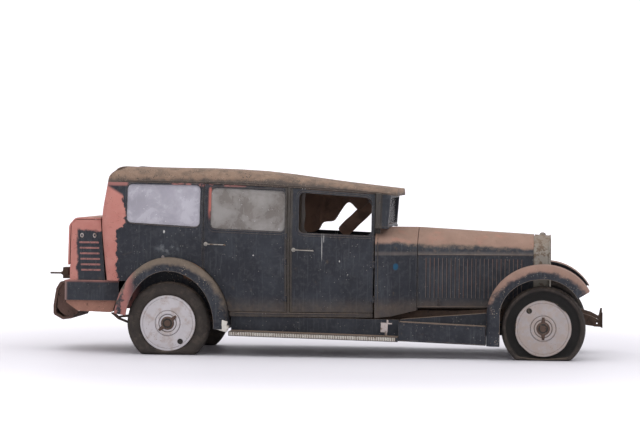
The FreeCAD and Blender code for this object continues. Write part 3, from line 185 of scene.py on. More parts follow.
def streaks_group():
    """Thin runs and scratches, long in Z."""
    tree, given, out, place = new_group("runs_and_scratches", {"Width": 0.01, "Cover": 0.2, "Shift": 0.0})
    across = maths(tree, "DIVIDE", 1.0, given["Width"])
    along = maths(tree, "MULTIPLY", across, 0.055)
    scale = add(tree, "CombineXYZ", {0: across, 1: along, 2: along}).outputs[0]
    moved = add(tree, "VectorMath", {0: place, 1: given["Shift"]}, operation="ADD").outputs[0]
    drawn_out = add(tree, "VectorMath", {0: moved, 1: scale}, operation="MULTIPLY").outputs[0]
    field = cloud(tree, drawn_out, 1.0, 3.0, 0.6)
    edge = maths(tree, "SUBTRACT", 0.78, maths(tree, "MULTIPLY", given["Cover"], 0.36))
    tree.links.new(step(tree, field, edge, maths(tree, "ADD", edge, 0.05)), out["Mask"])
    return tree


def specks_group():
    """Small chips and spots of uneven size."""
    tree, given, out, place = new_group("specks", {"Size": 0.02, "Cover": 0.3})
    scale = maths(tree, "DIVIDE", 1.0, given["Size"])
    cells = add(tree, "TexVoronoi", {"Vector": place, "Scale": scale, "Randomness": 1.0})
    wanted = step(tree, cloud(tree, place, maths(tree, "MULTIPLY", scale, 0.21), 2.0), 0.42, 0.62)
    reach = maths(tree, "MULTIPLY", given["Cover"], wanted)
    near = maths(tree, "LESS_THAN", cells.outputs["Distance"], reach)
    tree.links.new(near, out["Mask"])
    return tree


def edges_group():
    """Where an edge has been rubbed: a rounded normal that differs from the true one."""
    tree, given, out, place = new_group("rubbed_edges", {"Reach": 0.004, "Strength": 1.0})
    soft = add(tree, "Bevel", {"Radius": given["Reach"]}, samples=4).outputs[0]
    sharp = add(tree, "NewGeometry").outputs["Normal"]
    alike = add(tree, "VectorMath", {0: soft, 1: sharp}, operation="DOT_PRODUCT").outputs["Value"]
    worn = maths(tree, "SUBTRACT", 1.0, alike)
    broken = step(tree, cloud(tree, place, 38.0, 6.0, 0.7), 0.36, 0.6)
    mask = maths(tree, "MULTIPLY", step(tree, worn, 0.02, 0.16), broken)
    tree.links.new(maths(tree, "MULTIPLY", mask, given["Strength"]), out["Mask"])
    return tree


PATCHES, DUST, STREAKS = patches_group(), dust_group(), streaks_group()
SPECKS, EDGES = specks_group(), edges_group()


class Finish:
    """A Principled material built up in coats, each a mask over what is under it."""

    def __init__(self, name, colour, rough, metallic=0.0):
        self.material = bpy.data.materials.new(name)
        self.material.use_nodes = True
        self.tree = self.material.node_tree
        self.shader = self.tree.nodes["Principled BSDF"]
        self.shader.inputs["Metallic"].default_value = metallic
        self.place = add(self.tree, "TexCoord").outputs["Object"]
        self.x, self.y, self.z = add(self.tree, "SeparateXYZ", {0: self.place}).outputs
        self.colour, self.rough, self.height = colour, rough, None

    def use(self, group, **values):
        return add(self.tree, "Group", values, node_tree=group).outputs[0]

    def cloud(self, scale, detail=5.0, rough=0.6, warp=0.0):
        return cloud(self.tree, self.place, scale, detail, rough, warp)

    def maths(self, how, one, two=0.0):
        return maths(self.tree, how, one, two)

    def both(self, one, two):
        return maths(self.tree, "MULTIPLY", one, two)

    def step(self, *args):
        return step(self.tree, *args)

    def tint(self, *args):
        return tint(self.tree, *args)

    def level(self, *args):
        return level(self.tree, *args)

    def ragged(self, value, low, high, size=7.0, sway=0.12):
        """A smooth step on a coordinate whose edge wanders."""
        wander = self.both(self.maths("SUBTRACT", self.cloud(size, 6.0), 0.5), sway)
        return self.step(self.maths("ADD", value, wander), low, high)

    def spot(self, x, z, radius_x, radius_z, soft=0.5):
        """A soft-edged ellipse on the car's side."""
        across = self.maths("DIVIDE", self.maths("SUBTRACT", self.x, x), radius_x)
        up = self.maths("DIVIDE", self.maths("SUBTRACT", self.z, z), radius_z)
        far = self.maths("ADD", self.maths("POWER", across, 2.0), self.maths("POWER", up, 2.0))
        wander = self.both(self.cloud(22.0), 0.9)
        return self.step(self.maths("ADD", far, wander), 1.4, 1.4 - soft)

    def coat(self, mask, colour, rough=None, share=1.0):
        """Lays a colour, and a roughness, over what is there, as much as share where the mask is 1."""
        if share < 1.0:
            mask = self.both(mask, share)
        self.colour = self.tint(mask, self.colour, colour)
        if rough is not None:
            self.rough = self.level(mask, self.rough, rough)
        return self

    def relief(self, field, metres):
        """Raises the surface where the field is high."""
        part = self.both(field, metres)
        self.height = part if self.height is None else self.maths("ADD", self.height, part)
        return self

    def done(self):
        """Joins what was built up to the shader, and gives the material."""
        for name, value in (("Base Color", self.colour), ("Roughness", self.rough)):
            if isinstance(value, bpy.types.NodeSocket):
                self.tree.links.new(value, self.shader.inputs[name])
            else:
                self.shader.inputs[name].default_value = value
        if self.height is not None:
            bump = add(self.tree, "Bump", {"Height": self.height, "Distance": 1.0, "Strength": 1.0})
            self.tree.links.new(bump.outputs[0], self.shader.inputs["Normal"])
        return self.material


# ---------------------------------------------------------------------------------------- finishes
DUST_BROWN, PINK, PALE_PINK = rgb(0.19, 0.135, 0.10), rgb(0.34, 0.112, 0.092), rgb(0.46, 0.225, 0.19)
INK, HAZE, RUBBED = rgb(0.0075, 0.0085, 0.0125), rgb(0.036, 0.041, 0.050), (0.3, 0.25, 0.2)


def dark_paint(name, dust=0.55, upward=0.5):
    """Blue-black paint gone dull: cloudy haze, runs of dust, chips and pale rubbed edges."""
    f = Finish(name, 0, 0.46)
    f.colour = f.tint(f.cloud(2.6, 6.0), INK, rgb(0.018, 0.020, 0.028))
    f.coat(f.use(PATCHES, Size=0.34, Cover=0.42, Softness=0.14), HAZE, 0.66, share=0.55)
    f.coat(f.use(STREAKS, Width=0.02, Cover=0.55), rgb(0.085, 0.09, 0.095), 0.7, share=0.20)
    f.coat(f.use(STREAKS, Width=0.0035, Cover=0.3, Shift=3.1), rgb(0.16, 0.165, 0.17), 0.7, share=0.16)
    f.coat(f.use(SPECKS, Size=0.03, Cover=0.13), rgb(0.17, 0.16, 0.15), 0.8)
    f.coat(f.use(PATCHES, Size=0.045, Cover=0.34, Softness=0.1, Shift=4.0), rgb(0.058, 0.060, 0.064), 0.8,
           share=0.35)
    f.coat(f.use(PATCHES, Size=0.12, Cover=0.1, Softness=0.05, Shift=7.0), rgb(0.075, 0.055, 0.042), 0.8,
           share=0.7)
    f.coat(f.use(EDGES, Reach=0.006, Strength=0.8), rgb(0.20, 0.175, 0.15), 0.7)
    f.coat(f.use(DUST, Upward=upward, Amount=dust, Size=0.05), DUST_BROWN, 0.92)
    f.relief(f.cloud(420.0, 3.0), 0.00012).relief(f.cloud(3.2, 2.0), 0.004)
    f.shader.inputs["Specular IOR Level"].default_value = 0.24
    return f


def dimmed(tone, share=0.5):
    return rgb(*(part * share for part in tone[:3]))


def body_paint():
    """The cabin's sides: dark paint, pink primer at the rear corner and over the windows."""
    f = dark_paint("worn_body_paint", 0.6, 0.55)
    foot = f.step(f.z, 0.60, 0.43)
    f.coat(f.both(foot, f.cloud(24.0)), rgb(0.11, 0.085, 0.065), 0.85, share=0.9)
    over = f.both(f.step(f.z, 1.635, 1.66), f.step(f.cloud(5.5, 7.0), 0.50, 0.56))
    f.coat(over, rgb(0.30, 0.13, 0.115), 0.8, share=0.85)
    for x in (-0.278, 0.59):
        post = f.both(f.step(f.x, x - 0.045, x - 0.025), f.step(f.x, x + 0.045, x + 0.025))
        f.coat(f.both(post, f.cloud(11.0)), rgb(0.085, 0.068, 0.048), 0.8, share=0.8)
    edge = f.both(f.step(f.x, -1.028, -1.046), f.step(f.x, -1.075, -1.055))
    f.coat(f.both(edge, f.both(f.step(f.z, 1.30, 1.42), f.step(f.cloud(8.0), 0.4, 0.5))), PINK, 0.8)
    reach = f.maths("ADD", f.x, f.both(f.step(f.z, 1.26, 1.20), 0.055))
    sway = f.both(f.maths("SUBTRACT", f.cloud(5.5, 8.0, 0.66), 0.5), 0.30)
    corner = f.step(f.maths("ADD", reach, sway), -1.905, -1.925)
    below = f.step(f.maths("ADD", f.z, f.both(f.x, 0.6)), 0.42, 0.38)
    primer = f.tint(f.cloud(9.0, 7.0), PINK, PALE_PINK)
    f.coat(f.both(corner, below), primer, 0.78)
    f.coat(f.both(corner, f.use(SPECKS, Size=0.016, Cover=0.2)), rgb(0.12, 0.07, 0.06), 0.8)
    for x, z, long, tall in (
        (0.048, 1.06, 0.0035, 0.17), (0.066, 1.15, 0.003, 0.05), (-0.62, 0.98, 0.009, 0.008),
        (0.30, 0.80, 0.005, 0.006), (0.22, 0.93, 0.007, 0.012), (-1.50, 1.20, 0.012, 0.02),
    ):
        f.coat(f.spot(x, z, long, tall, 0.8), rgb(0.55, 0.54, 0.52), 0.7, share=0.75)
    smear = f.both(f.spot(-1.47, 1.04, 0.15, 0.09, 1.2), f.step(f.cloud(16.0, 8.0), 0.46, 0.66))
    f.coat(smear, rgb(0.16, 0.17, 0.18), 0.75, share=0.6)
    f.coat(f.spot(0.762, 0.88, 0.030, 0.042, 0.6), rgb(0.008, 0.055, 0.105), 0.6)
    return f.done()


def bonnet_paint():
    """Scuttle and bonnet: thick pinkish dust on the crown, ending in a wavy line on dark paint."""
    f = dark_paint("dusty_bonnet_paint", 0.9, 0.55)
    line = f.maths("ADD", f.z, f.both(f.x, 0.030))
    sway = f.both(f.maths("SUBTRACT", f.cloud(4.2, 8.0, 0.6), 0.5), 0.13)
    crown = f.step(f.maths("ADD", line, sway), 1.118, 1.15)
    dust = f.tint(f.cloud(6.0, 8.0, 0.62), rgb(0.17, 0.108, 0.080), rgb(0.30, 0.195, 0.155))
    f.coat(crown, dust, 0.9)
    ruddy = f.both(crown, f.use(PATCHES, Size=0.26, Cover=0.28, Softness=0.10, Shift=5.0))
    f.coat(ruddy, rgb(0.33, 0.16, 0.12), 0.85, share=0.7)
    ledge = f.both(f.step(f.z, 0.985, 1.0), f.step(f.z, 1.04, 1.01))
    f.coat(f.both(ledge, f.cloud(9.0)), rgb(0.15, 0.125, 0.11), 0.9, share=0.8)
    f.coat(f.both(crown, f.use(SPECKS, Size=0.014, Cover=0.16)), rgb(0.06, 0.045, 0.04), 0.9)
    low = f.step(f.z, 0.60, 0.47)
    f.coat(f.both(low, f.cloud(18.0)), rgb(0.115, 0.085, 0.065), 0.88, share=0.9)
    f.coat(f.spot(0.762, 0.88, 0.030, 0.042, 0.6), rgb(0.008, 0.055, 0.105), 0.6)
    f.relief(f.both(crown, f.cloud(160.0, 5.0)), 0.0006)
    return f.done()


def louvre_paint():
    """Pressed louvres: paint rubbed pale along their crests, which also carry a painted highlight, and a
    near-black painted shade on the faces turned forwards.
    """
    f = dark_paint("rubbed_louvre_paint_and_painted_light", 0.3, 0.7)
    normal = add(f.tree, "SeparateXYZ", {0: add(f.tree, "TexCoord").outputs["Normal"]}).outputs
    # Painted highlight: the faces turned outwards (the crests) are made paler, partly rubbed paint and partly
    # painted light.
    crest = f.step(f.maths("ABSOLUTE", normal[1]), 0.86, 0.97)
    worn = f.tint(f.cloud(14.0, 7.0), rgb(0.060, 0.046, 0.042), rgb(0.205, 0.165, 0.15))
    f.coat(crest, worn, 0.75, share=0.85)
    # Painted shade: the faces turned forwards (+X) are made near black.
    f.coat(f.step(normal[0], 0.25, 0.6), rgb(0.004, 0.004, 0.005), 0.9, share=0.9)
    ruddy = f.both(crest, f.use(PATCHES, Size=0.22, Cover=0.4, Softness=0.1))
    f.coat(ruddy, rgb(0.17, 0.085, 0.065), 0.8, share=0.5)
    return f.done()


def fender_paint(name, crown_low, crown_high):
    """Fenders: dust over the crown, pink at the tail, an orange rust patch inside the rear arch."""
    f = dark_paint(name, 0.35, 0.5)
    dust = f.tint(f.cloud(8.0, 8.0, 0.64), crown_low, crown_high)
    f.coat(f.use(DUST, Upward=0.30, Amount=0.96, Size=0.11), dust, 0.92)
    f.coat(f.use(SPECKS, Size=0.018, Cover=0.22), rgb(0.23, 0.19, 0.15), 0.9)
    tail = f.both(f.step(f.x, -1.74, -1.86), f.step(f.cloud(7.0), 0.42, 0.52))
    f.coat(tail, rgb(0.36, 0.15, 0.13), 0.85, share=0.75)
    under = f.both(f.step(f.z, 0.70, 0.78), f.spot(-1.22, 0.80, 0.14, 0.13, 0.6))
    inner = f.step(f.maths("ABSOLUTE", f.y), 0.80, 0.70)
    f.coat(f.both(under, inner), rgb(0.42, 0.17, 0.045), 0.9)
    f.relief(f.cloud(120.0, 5.0), 0.0004)
    return f.done()


def roof_cover():
    """Weathered roof: tan dust, dark mould spots, thicker and darker at the foot."""
    f = Finish("weathered_roof", 0, 0.93)
    f.colour = f.tint(f.cloud(3.4, 9.0, 0.64), rgb(0.125, 0.082, 0.058), rgb(0.25, 0.165, 0.118))
    f.coat(f.use(PATCHES, Size=0.10, Cover=0.42, Softness=0.08), rgb(0.095, 0.068, 0.052), share=0.65)
    ahead = f.maths("ADD", f.z, f.both(f.step(f.x, -0.5, 0.9), 0.12))
    foot = f.ragged(ahead, 1.735, 1.69, 14.0, 0.08)
    f.coat(foot, rgb(0.040, 0.036, 0.034), share=0.8)
    f.coat(f.use(SPECKS, Size=0.02, Cover=0.34), rgb(0.055, 0.042, 0.034))
    f.coat(f.use(SPECKS, Size=0.006, Cover=0.28), rgb(0.30, 0.235, 0.185))
    f.relief(f.cloud(90.0, 8.0), 0.0014).relief(f.cloud(14.0, 5.0), 0.003)
    rear = f.step(f.maths("ADD", f.x, f.both(f.cloud(6.0), 0.2)), -1.93, -2.03)
    f.coat(rear, rgb(0.33, 0.15, 0.115), share=0.8)
    return f.done()


def trunk_paint():
    """Luggage trunk: pink primer along its rear edge and top, dark paint left on its side."""
    f = dark_paint("worn_trunk_paint", 0.5, 0.5)
    sway = f.both(f.maths("SUBTRACT", f.cloud(9.0, 8.0), 0.5), 0.12)
    rear = f.step(f.maths("ADD", f.x, sway), -2.372, -2.398)
    top = f.step(f.maths("ADD", f.z, sway), 1.195, 1.225)
    bare = f.maths("MAXIMUM", rear, top)
    f.coat(bare, f.tint(f.cloud(8.0, 8.0), PINK, PALE_PINK), 0.8)
    f.coat(f.both(bare, f.use(SPECKS, Size=0.02, Cover=0.2)), rgb(0.13, 0.06, 0.05), 0.85)
    f.coat(f.use(DUST, Upward=0.75, Amount=0.6, Size=0.06), rgb(0.33, 0.24, 0.19), 0.92)
    return f.done()


def deck_paint():
    """The deck behind the cabin: pink along its top edge and its rear end."""
    f = dark_paint("worn_deck_paint", 0.6, 0.6)
    lip = f.both(f.step(f.z, 0.685, 0.705), f.cloud(12.0))
    f.coat(lip, rgb(0.42, 0.19, 0.16), 0.85)
    f.coat(f.step(f.x, -2.47, -2.50), rgb(0.40, 0.25, 0.22), 0.8, share=0.5)
    return f.done()


def rusty(name, dark, bright, size=0.06, rough=0.9):
    """Scaled rust over old black: brown flakes with brighter pits."""
    f = Finish(name, 0, rough)
    f.colour = f.tint(f.cloud(1.0 / size, 9.0, 0.68), dark, bright)
    f.coat(f.use(PATCHES, Size=size * 0.6, Cover=0.22, Softness=0.05, Shift=2.0), dimmed(dark))
    f.coat(f.use(SPECKS, Size=0.012, Cover=0.28), bright)
    f.coat(f.use(EDGES, Reach=0.004, Strength=0.5), rgb(*((a + b) / 2 for a, b in zip(bright, RUBBED))))
    f.coat(f.use(DUST, Upward=0.6, Amount=0.6, Size=0.04), DUST_BROWN)
    f.relief(f.cloud(150.0, 6.0), 0.0009).relief(f.cloud(30.0, 4.0), 0.0015)
    return f.done()


def old_alloy(name, tone, dirt):
    """Dull alloy disc: cloudy stains, fine turning marks, dirt in the rings, worn edge."""
    f = Finish(name, 0, 0.52, 0.35)
    f.colour = f.tint(f.cloud(9.0, 7.0, 0.6), tone, dimmed(tone, 0.74))
    f.coat(f.use(PATCHES, Size=0.07, Cover=dirt, Softness=0.1), rgb(0.33, 0.26, 0.22), 0.75, share=0.55)
    f.coat(f.use(STREAKS, Width=0.004, Cover=0.4), rgb(0.36, 0.33, 0.32), 0.7, share=0.4)
    f.coat(f.use(SPECKS, Size=0.02, Cover=0.15), rgb(0.16, 0.10, 0.07), 0.85)
    f.coat(f.use(EDGES, Reach=0.005, Strength=0.6), rgb(0.17, 0.13, 0.11), 0.8)
    f.relief(f.cloud(60.0, 5.0), 0.0005)
    return f.done()


def perished_rubber():
    """Brown-black rubber, chalky with dust and finely cracked, with a near-black painted shade in the front
    tyres' sunken sidewalls.
    """
    f = Finish("perished_rubber", 0, 0.88)
    f.colour = f.tint(f.cloud(7.0, 8.0, 0.62), rgb(0.014, 0.0115, 0.0100), rgb(0.042, 0.032, 0.026))
    f.coat(f.use(PATCHES, Size=0.09, Cover=0.35, Softness=0.1), rgb(0.080, 0.060, 0.048), share=0.45)
    cells = add(f.tree, "TexVoronoi", {"Vector": f.place, "Scale": 46.0},
                feature="DISTANCE_TO_EDGE").outputs[0]
    crack = f.step(cells, 0.05, 0.0)
    f.coat(crack, rgb(0.008, 0.007, 0.006), share=0.6)
    f.coat(f.use(DUST, Upward=0.7, Amount=0.5, Size=0.05), rgb(0.16, 0.12, 0.09))
    across, up = f.maths("SUBTRACT", f.x, FRONT_AXLE_X), f.maths("SUBTRACT", f.z, AXLE_Z)
    radius = f.maths("SQRT", f.maths("ADD", f.both(across, across), f.both(up, up)))
    # Painted shade: near black over the front tyres' sunken sidewall, inside the shoulder, where the
    # collapsed rubber lies in shade.
    sunken_sidewall_shade = f.both(f.step(radius, 0.372, 0.352), f.step(f.maths("ABSOLUTE", f.y), 0.794, 0.768))
    f.coat(sunken_sidewall_shade, rgb(0.004, 0.0035, 0.003), share=0.92)
    f.relief(crack, -0.0008).relief(f.cloud(180.0, 5.0), 0.0006)
    return f.done()


def dusty_glass(name, tone, milk, cover, shine):
    """Old pane under dust: milky where the dust is thick, clearer where it was wiped."""
    f = Finish(name, 0, shine)
    f.colour = f.tint(f.cloud(3.0, 6.0, 0.55, 0.8), tone, dimmed(tone, 0.66))
    f.coat(f.use(PATCHES, Size=0.22, Cover=0.5, Softness=0.12), milk, 0.45, share=0.45)
    f.coat(f.use(STREAKS, Width=0.012, Cover=0.4), milk, 0.4, share=0.16)
    f.coat(f.use(SPECKS, Size=0.035, Cover=0.10), rgb(0.70, 0.70, 0.72), 0.5)
    ahead = f.step(f.x, 0.3, 0.4)
    f.coat(ahead, rgb(0.035, 0.030, 0.028), 0.3, share=0.9)
    veil = f.step(f.cloud(2.2, 5.0), 0.3, 0.62)
    alpha = f.level(ahead, f.level(veil, cover - 0.14, cover), 0.22)
    f.tree.links.new(alpha, f.shader.inputs["Alpha"])
    f.tree.links.new(f.level(ahead, 0.7, 0.04), f.shader.inputs["Specular IOR Level"])
    f.relief(f.cloud(2.2, 2.0), 0.003)
    return f.done()


def old_boards(name, light=1.0):
    """Dry boards: long grain, gaps darkened with dirt."""
    f = Finish(name, 0, 0.85)
    grain = cloud(f.tree, stretched(f.tree, f.place, (3.0, 70.0, 70.0)), 1.0, 7.0, 0.6, 0.4)
    f.colour = f.tint(grain, rgb(0.06 * light, 0.038 * light, 0.024 * light),
                      rgb(0.20 * light, 0.13 * light, 0.08 * light))
    f.coat(f.use(PATCHES, Size=0.2, Cover=0.4, Softness=0.1), rgb(0.16, 0.125, 0.095), share=0.5)
    f.relief(grain, 0.0008)
    return f.done()


def worn_cloth(name, dark, light, pitch=0.0026):
    """Coarse woven cloth, faded and stained, with a raised weave."""
    f = Finish(name, 0, 0.95)
    f.colour = f.tint(f.cloud(5.0, 8.0, 0.62), dark, light)
    f.coat(f.use(PATCHES, Size=0.16, Cover=0.3, Softness=0.08), dimmed(dark), share=0.6)
    spin = 2 * math.pi / pitch
    waves = [f.maths("SINE", f.both(axis, spin)) for axis in (f.x, f.y, f.z)]
    weave = f.maths("ADD", f.both(waves[0], waves[1]), waves[2])
    f.coat(f.step(weave, 1.2, 0.2, 0.3), dimmed(dark))
    f.relief(weave, 0.0003).relief(f.cloud(26.0, 6.0), 0.004)
    f.shader.inputs["Sheen Weight"].default_value = 0.25
    return f.done()


def plain_metal(name, tone, rough, metallic, stain):
    """One metal or paint, stained, rubbed at its edges and dusty on top."""
    f = Finish(name, 0, rough, metallic)
    f.colour = f.tint(f.cloud(26.0, 7.0), tone, dimmed(tone, 0.6))
    f.coat(f.use(PATCHES, Size=0.05, Cover=stain, Softness=0.06), rgb(0.12, 0.085, 0.06), 0.8)
    f.coat(f.use(EDGES, Reach=0.002, Strength=0.5), rgb(0.5, 0.47, 0.43), 0.5)
    f.coat(f.use(DUST, Upward=0.6, Amount=0.5, Size=0.03), DUST_BROWN, 0.9)
    f.relief(f.cloud(300.0, 4.0), 0.0002)
    return f.done()


BODY, BONNET, ROOF, TRUNK, DECK = body_paint(), bonnet_paint(), roof_cover(), trunk_paint(), deck_paint()
FRONT_FENDER = fender_paint("front_fender_paint", rgb(0.15, 0.10, 0.078), rgb(0.29, 0.175, 0.14))
REAR_FENDER = fender_paint("rear_fender_paint", rgb(0.070, 0.057, 0.046), rgb(0.19, 0.148, 0.115))
SILL = dark_paint("worn_sill_paint", 0.85, 0.5).done()
CHASSIS = rusty("rusty_chassis", rgb(0.018, 0.014, 0.012), rgb(0.085, 0.048, 0.030))
TANK = rusty("rusty_tank", rgb(0.155, 0.075, 0.055), rgb(0.37, 0.185, 0.135), 0.12)
APRON = rusty("rusty_apron", rgb(0.040, 0.024, 0.020), rgb(0.125, 0.068, 0.052), 0.10)
OILY = rusty("oily_engine", rgb(0.012, 0.011, 0.010), rgb(0.060, 0.050, 0.040), 0.10, 0.6)
NUT_RUST = rusty("rusty_nut", rgb(0.036, 0.022, 0.018), rgb(0.105, 0.062, 0.045), 0.03)
ALLOY = old_alloy("pale_alloy", rgb(0.50, 0.475, 0.49), 0.35)
DIRTY_ALLOY = old_alloy("dirty_alloy", rgb(0.36, 0.325, 0.32), 0.55)
RUBBER = perished_rubber()
LOUVRE = louvre_paint()
LILAC_GLASS = dusty_glass("lilac_dusty_glass", rgb(0.34, 0.325, 0.375), rgb(0.50, 0.49, 0.54), 0.95, 0.2)
BROWN_GLASS = dusty_glass("brown_dusty_glass", rgb(0.150, 0.130, 0.115), rgb(0.34, 0.33, 0.32), 0.93, 0.25)
BOARDS = old_boards("old_floor_boards")
PANEL_WOOD = old_boards("partition_wood", 0.6)
CLOTH = worn_cloth("faded_seat_cloth", rgb(0.075, 0.048, 0.032), rgb(0.20, 0.14, 0.095))
LINING = worn_cloth("torn_headlining", rgb(0.075, 0.038, 0.024), rgb(0.26, 0.145, 0.095))
PLATING = plain_metal("dull_plating", rgb(0.33, 0.31, 0.28), 0.42, 0.75, 0.3)
STRIP = plain_metal("ribbed_alloy", rgb(0.66, 0.63, 0.57), 0.65, 0.05, 0.12)
SHELL = plain_metal("radiator_shell_metal", rgb(0.26, 0.235, 0.20), 0.6, 0.3, 0.45)
SOOT = plain_metal("sooty_core", rgb(0.030, 0.026, 0.022), 0.85, 0.2, 0.3)
PALE = plain_metal("flaking_pale_paint", rgb(0.44, 0.38, 0.36), 0.8, 0.0, 0.35)
EDGE_PAINT = plain_metal("rubbed_fender_edge", rgb(0.17, 0.145, 0.13), 0.75, 0.0, 0.45)
LOUVRE_PINK = rusty("rubbed_louvre", rgb(0.030, 0.028, 0.034), rgb(0.42, 0.17, 0.145), 0.05, 0.8)
HORN = plain_metal("dark_wheel_rim", rgb(0.020, 0.016, 0.013), 0.45, 0.0, 0.2)

CORNERS = ("front_left", "front_right", "rear_left", "rear_right")
NODE_FINISHES = {
    BODY: ("left_quarter_panel", "right_quarter_panel", "back_panel", "left_front_door", "right_front_door",
           "left_rear_door", "right_rear_door", "door_frames", "windscreen_frame"),
    BONNET: ("scuttle", "left_bonnet_top", "right_bonnet_top", "left_bonnet_side", "right_bonnet_side"),
    ROOF: ("roof",), TRUNK: ("trunk", "trunk_lid"), DECK: ("rear_deck",), TANK: ("fuel_tank",),
    APRON: ("rear_apron",),
    FRONT_FENDER: ("front_fenders",), REAR_FENDER: ("rear_fenders",), SILL: ("running_boards", "side_aprons"),
    CHASSIS: ("frame_rails", "bumper_brackets", "cross_members", "front_axle", "rear_axle", "leaf_springs",
              "exhaust", "left_knuckle", "right_knuckle", "tie_rod", "spare_wheel_carrier",
              "steering_column"),
    OILY: ("engine",), SHELL: ("radiator_shell",),
    SOOT: ("radiator_core", *(f"{corner}_wheel" for corner in CORNERS)),
    LILAC_GLASS: ("fixed_glass",),
    BROWN_GLASS: ("left_rear_door_glass", "right_rear_door_glass"), BOARDS: ("floor",),
    PANEL_WOOD: ("partition", "dashboard"), HORN: ("steering_wheel",),
    CLOTH: ("front_seat", "rear_seat"),
    RUBBER: [f"{corner}_tyre" for corner in CORNERS],
}
for finish, names in NODE_FINISHES.items():
    for name in names:
        for slot in nodes[name].material_slots:
            slot.material = finish


# ---------------------------------------------------------------------------------- modelling tools
def edit():
    bpy.ops.object.mode_set(mode="EDIT")


def out_of_edit():
    bpy.ops.object.mode_set(mode="OBJECT")


def take_all():
    bpy.ops.mesh.select_all(action="SELECT")


def apply_place():
    bpy.ops.object.transform_apply(location=True, rotation=True, scale=True)


def modify(piece, kind, **settings):
    """Puts one modifier on the active piece and applies it."""
    made = piece.modifiers.new(kind.lower(), kind)
    for key, value in settings.items():
        setattr(made, key, value)
    bpy.ops.object.modifier_apply(modifier=made.name)


def pick(kind, test):
    """In edit mode, leaves only the faces, edges or verts that pass the test selected."""
    piece = bpy.context.object
    bpy.ops.mesh.select_mode(type=kind)
    mesh = bmesh.from_edit_mesh(piece.data)
    for group in (mesh.faces, mesh.edges, mesh.verts):
        for element in group:
            element.select = False
    for element in {"FACE": mesh.faces, "EDGE": mesh.edges, "VERT": mesh.verts}[kind]:
        if test(element):
            element.select = True
    mesh.select_flush_mode()
    bmesh.update_edit_mesh(piece.data)


def settle(name, body, finish, angle=35):
    """Names the active piece, puts its place in its mesh, and hangs it on its body."""
    piece = bpy.context.object
    piece.name = piece.data.name = name
    apply_place()
    piece.data.materials.clear()
    piece.data.materials.append(finish)
    bpy.ops.object.shade_smooth_by_angle(angle=math.radians(angle))
    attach(piece, body)
    return piece


def deselect():
    bpy.ops.object.select_all(action="DESELECT")


def block(size, place, turn=(0, 0, 0), bevel=0.002, segments=2):
    """A block with its edges rounded, left active at the origin of the car."""
    deselect()
    bpy.ops.mesh.primitive_cube_add(size=1, location=place, rotation=turn)
    bpy.context.object.scale = size
    apply_place()
    edit()
    bpy.ops.mesh.bevel(offset=bevel, segments=segments, affect="EDGES")
    out_of_edit()
    return bpy.context.object


def chain(points):
    """Edit mode on a line of verts through the points."""
    deselect()
    bpy.ops.mesh.primitive_plane_add(size=0.001, location=points[0])
    edit()
    bpy.ops.mesh.select_mode(type="VERT")
    take_all()
    bpy.ops.mesh.merge(type="CENTER")
    for before, after in zip(points, points[1:]):
        move = Vector(after) - Vector(before)
        bpy.ops.mesh.extrude_region_move(TRANSFORM_OT_translate={"value": move})


def rod(points, radius, closed=False, sides=2):
    """A round rod or bead along the points, with its ends filled."""
    line = [Vector(point) for point in points]
    chain(line + line[:1] if closed else line)
    if closed:
        take_all()
        bpy.ops.mesh.remove_doubles(threshold=0.0001)
    out_of_edit()
    bpy.ops.object.convert(target="CURVE")
    curve = bpy.context.object.data
    curve.bevel_depth, curve.bevel_resolution, curve.use_fill_caps = radius, sides, True
    bpy.ops.object.convert(target="MESH")
    apply_place()
    return bpy.context.object


def turned(profile, centre, steps=48, axis=(0, 1, 0)):
    """Spins a profile of (along, radius) about the axis Y or X through centre."""
    centre = Vector(centre)
    along = Vector(axis)
    chain([centre + along * y + Vector((0, 0, r)) for y, r in profile])
    take_all()
    bpy.ops.mesh.spin(steps=steps, angle=2 * math.pi, center=centre, axis=axis)
    take_all()
    bpy.ops.mesh.remove_doubles(threshold=0.00005)
    bpy.ops.mesh.normals_make_consistent(inside=False)
    out_of_edit()
    apply_place()
    return bpy.context.object


def join(pieces):
    deselect()
    for piece in pieces:
        piece.select_set(True)
    bpy.context.view_layer.objects.active = pieces[0]
    bpy.ops.object.join()
    return bpy.context.object


def repeat(piece, moves):
    """Copies of a piece, each with its own mesh, joined into one."""
    made = []
    for move in moves:
        copy = piece.copy()
        copy.data = piece.data.copy()
        copy.data.transform(move)
        scene.collection.objects.link(copy)
        made.append(copy)
    bpy.data.objects.remove(piece)
    return join(made)


def skin(names, x, z, side, proud=0.0):
    """The point on a panel's outside at x and z, or None where there is no panel."""
    for name in names:
        hit, point, normal, _ = nodes[name].ray_cast(Vector((x, side * 2, z)), Vector((0, -side, 0)))
        if hit:
            outward = normal if normal.y * side > 0 else -normal
            return point + outward * proud
    return None


def on_skin(names, flat_points, side, proud=0.0):
    """The points of a flat line that meet the panels, laid on them."""
    found = [skin(names, x, z, side, proud) for x, z in flat_points]
    return [point for point in found if point is not None]


def straight(start, end, count):
    """A straight flat line cut into count equal runs."""
    (x1, z1), (x2, z2) = start, end
    return [(x1 + (x2 - x1) * i / count, z1 + (z2 - z1) * i / count) for i in range(count + 1)]


def rounded(corners, bend, outset=0.0, count=8):
    """A closed line round four corners, each rounded, pushed outwards by outset."""
    middle = Vector((sum(x for x, _ in corners) / 4, sum(z for _, z in corners) / 4))
    moved = []
    for corner in corners:
        out = Vector(corner) - middle
        moved.append(Vector(corner) + Vector((math.copysign(outset, out.x), math.copysign(outset, out.y))))
    line = []
    for index, corner in enumerate(moved):
        before, after = moved[index - 1], moved[(index + 1) % 4]
        start = corner + (before - corner).normalized() * bend
        end = corner + (after - corner).normalized() * bend
        for t in (0, 0.25, 0.5, 0.75, 1):
            line.append(start * (1 - t) ** 2 + corner * 2 * t * (1 - t) + end * t * t)
        run = after + (corner - after).normalized() * bend
        line += [end + (run - end) * (i / count) for i in range(1, count)]
    return [(point.x, point.y) for point in line]


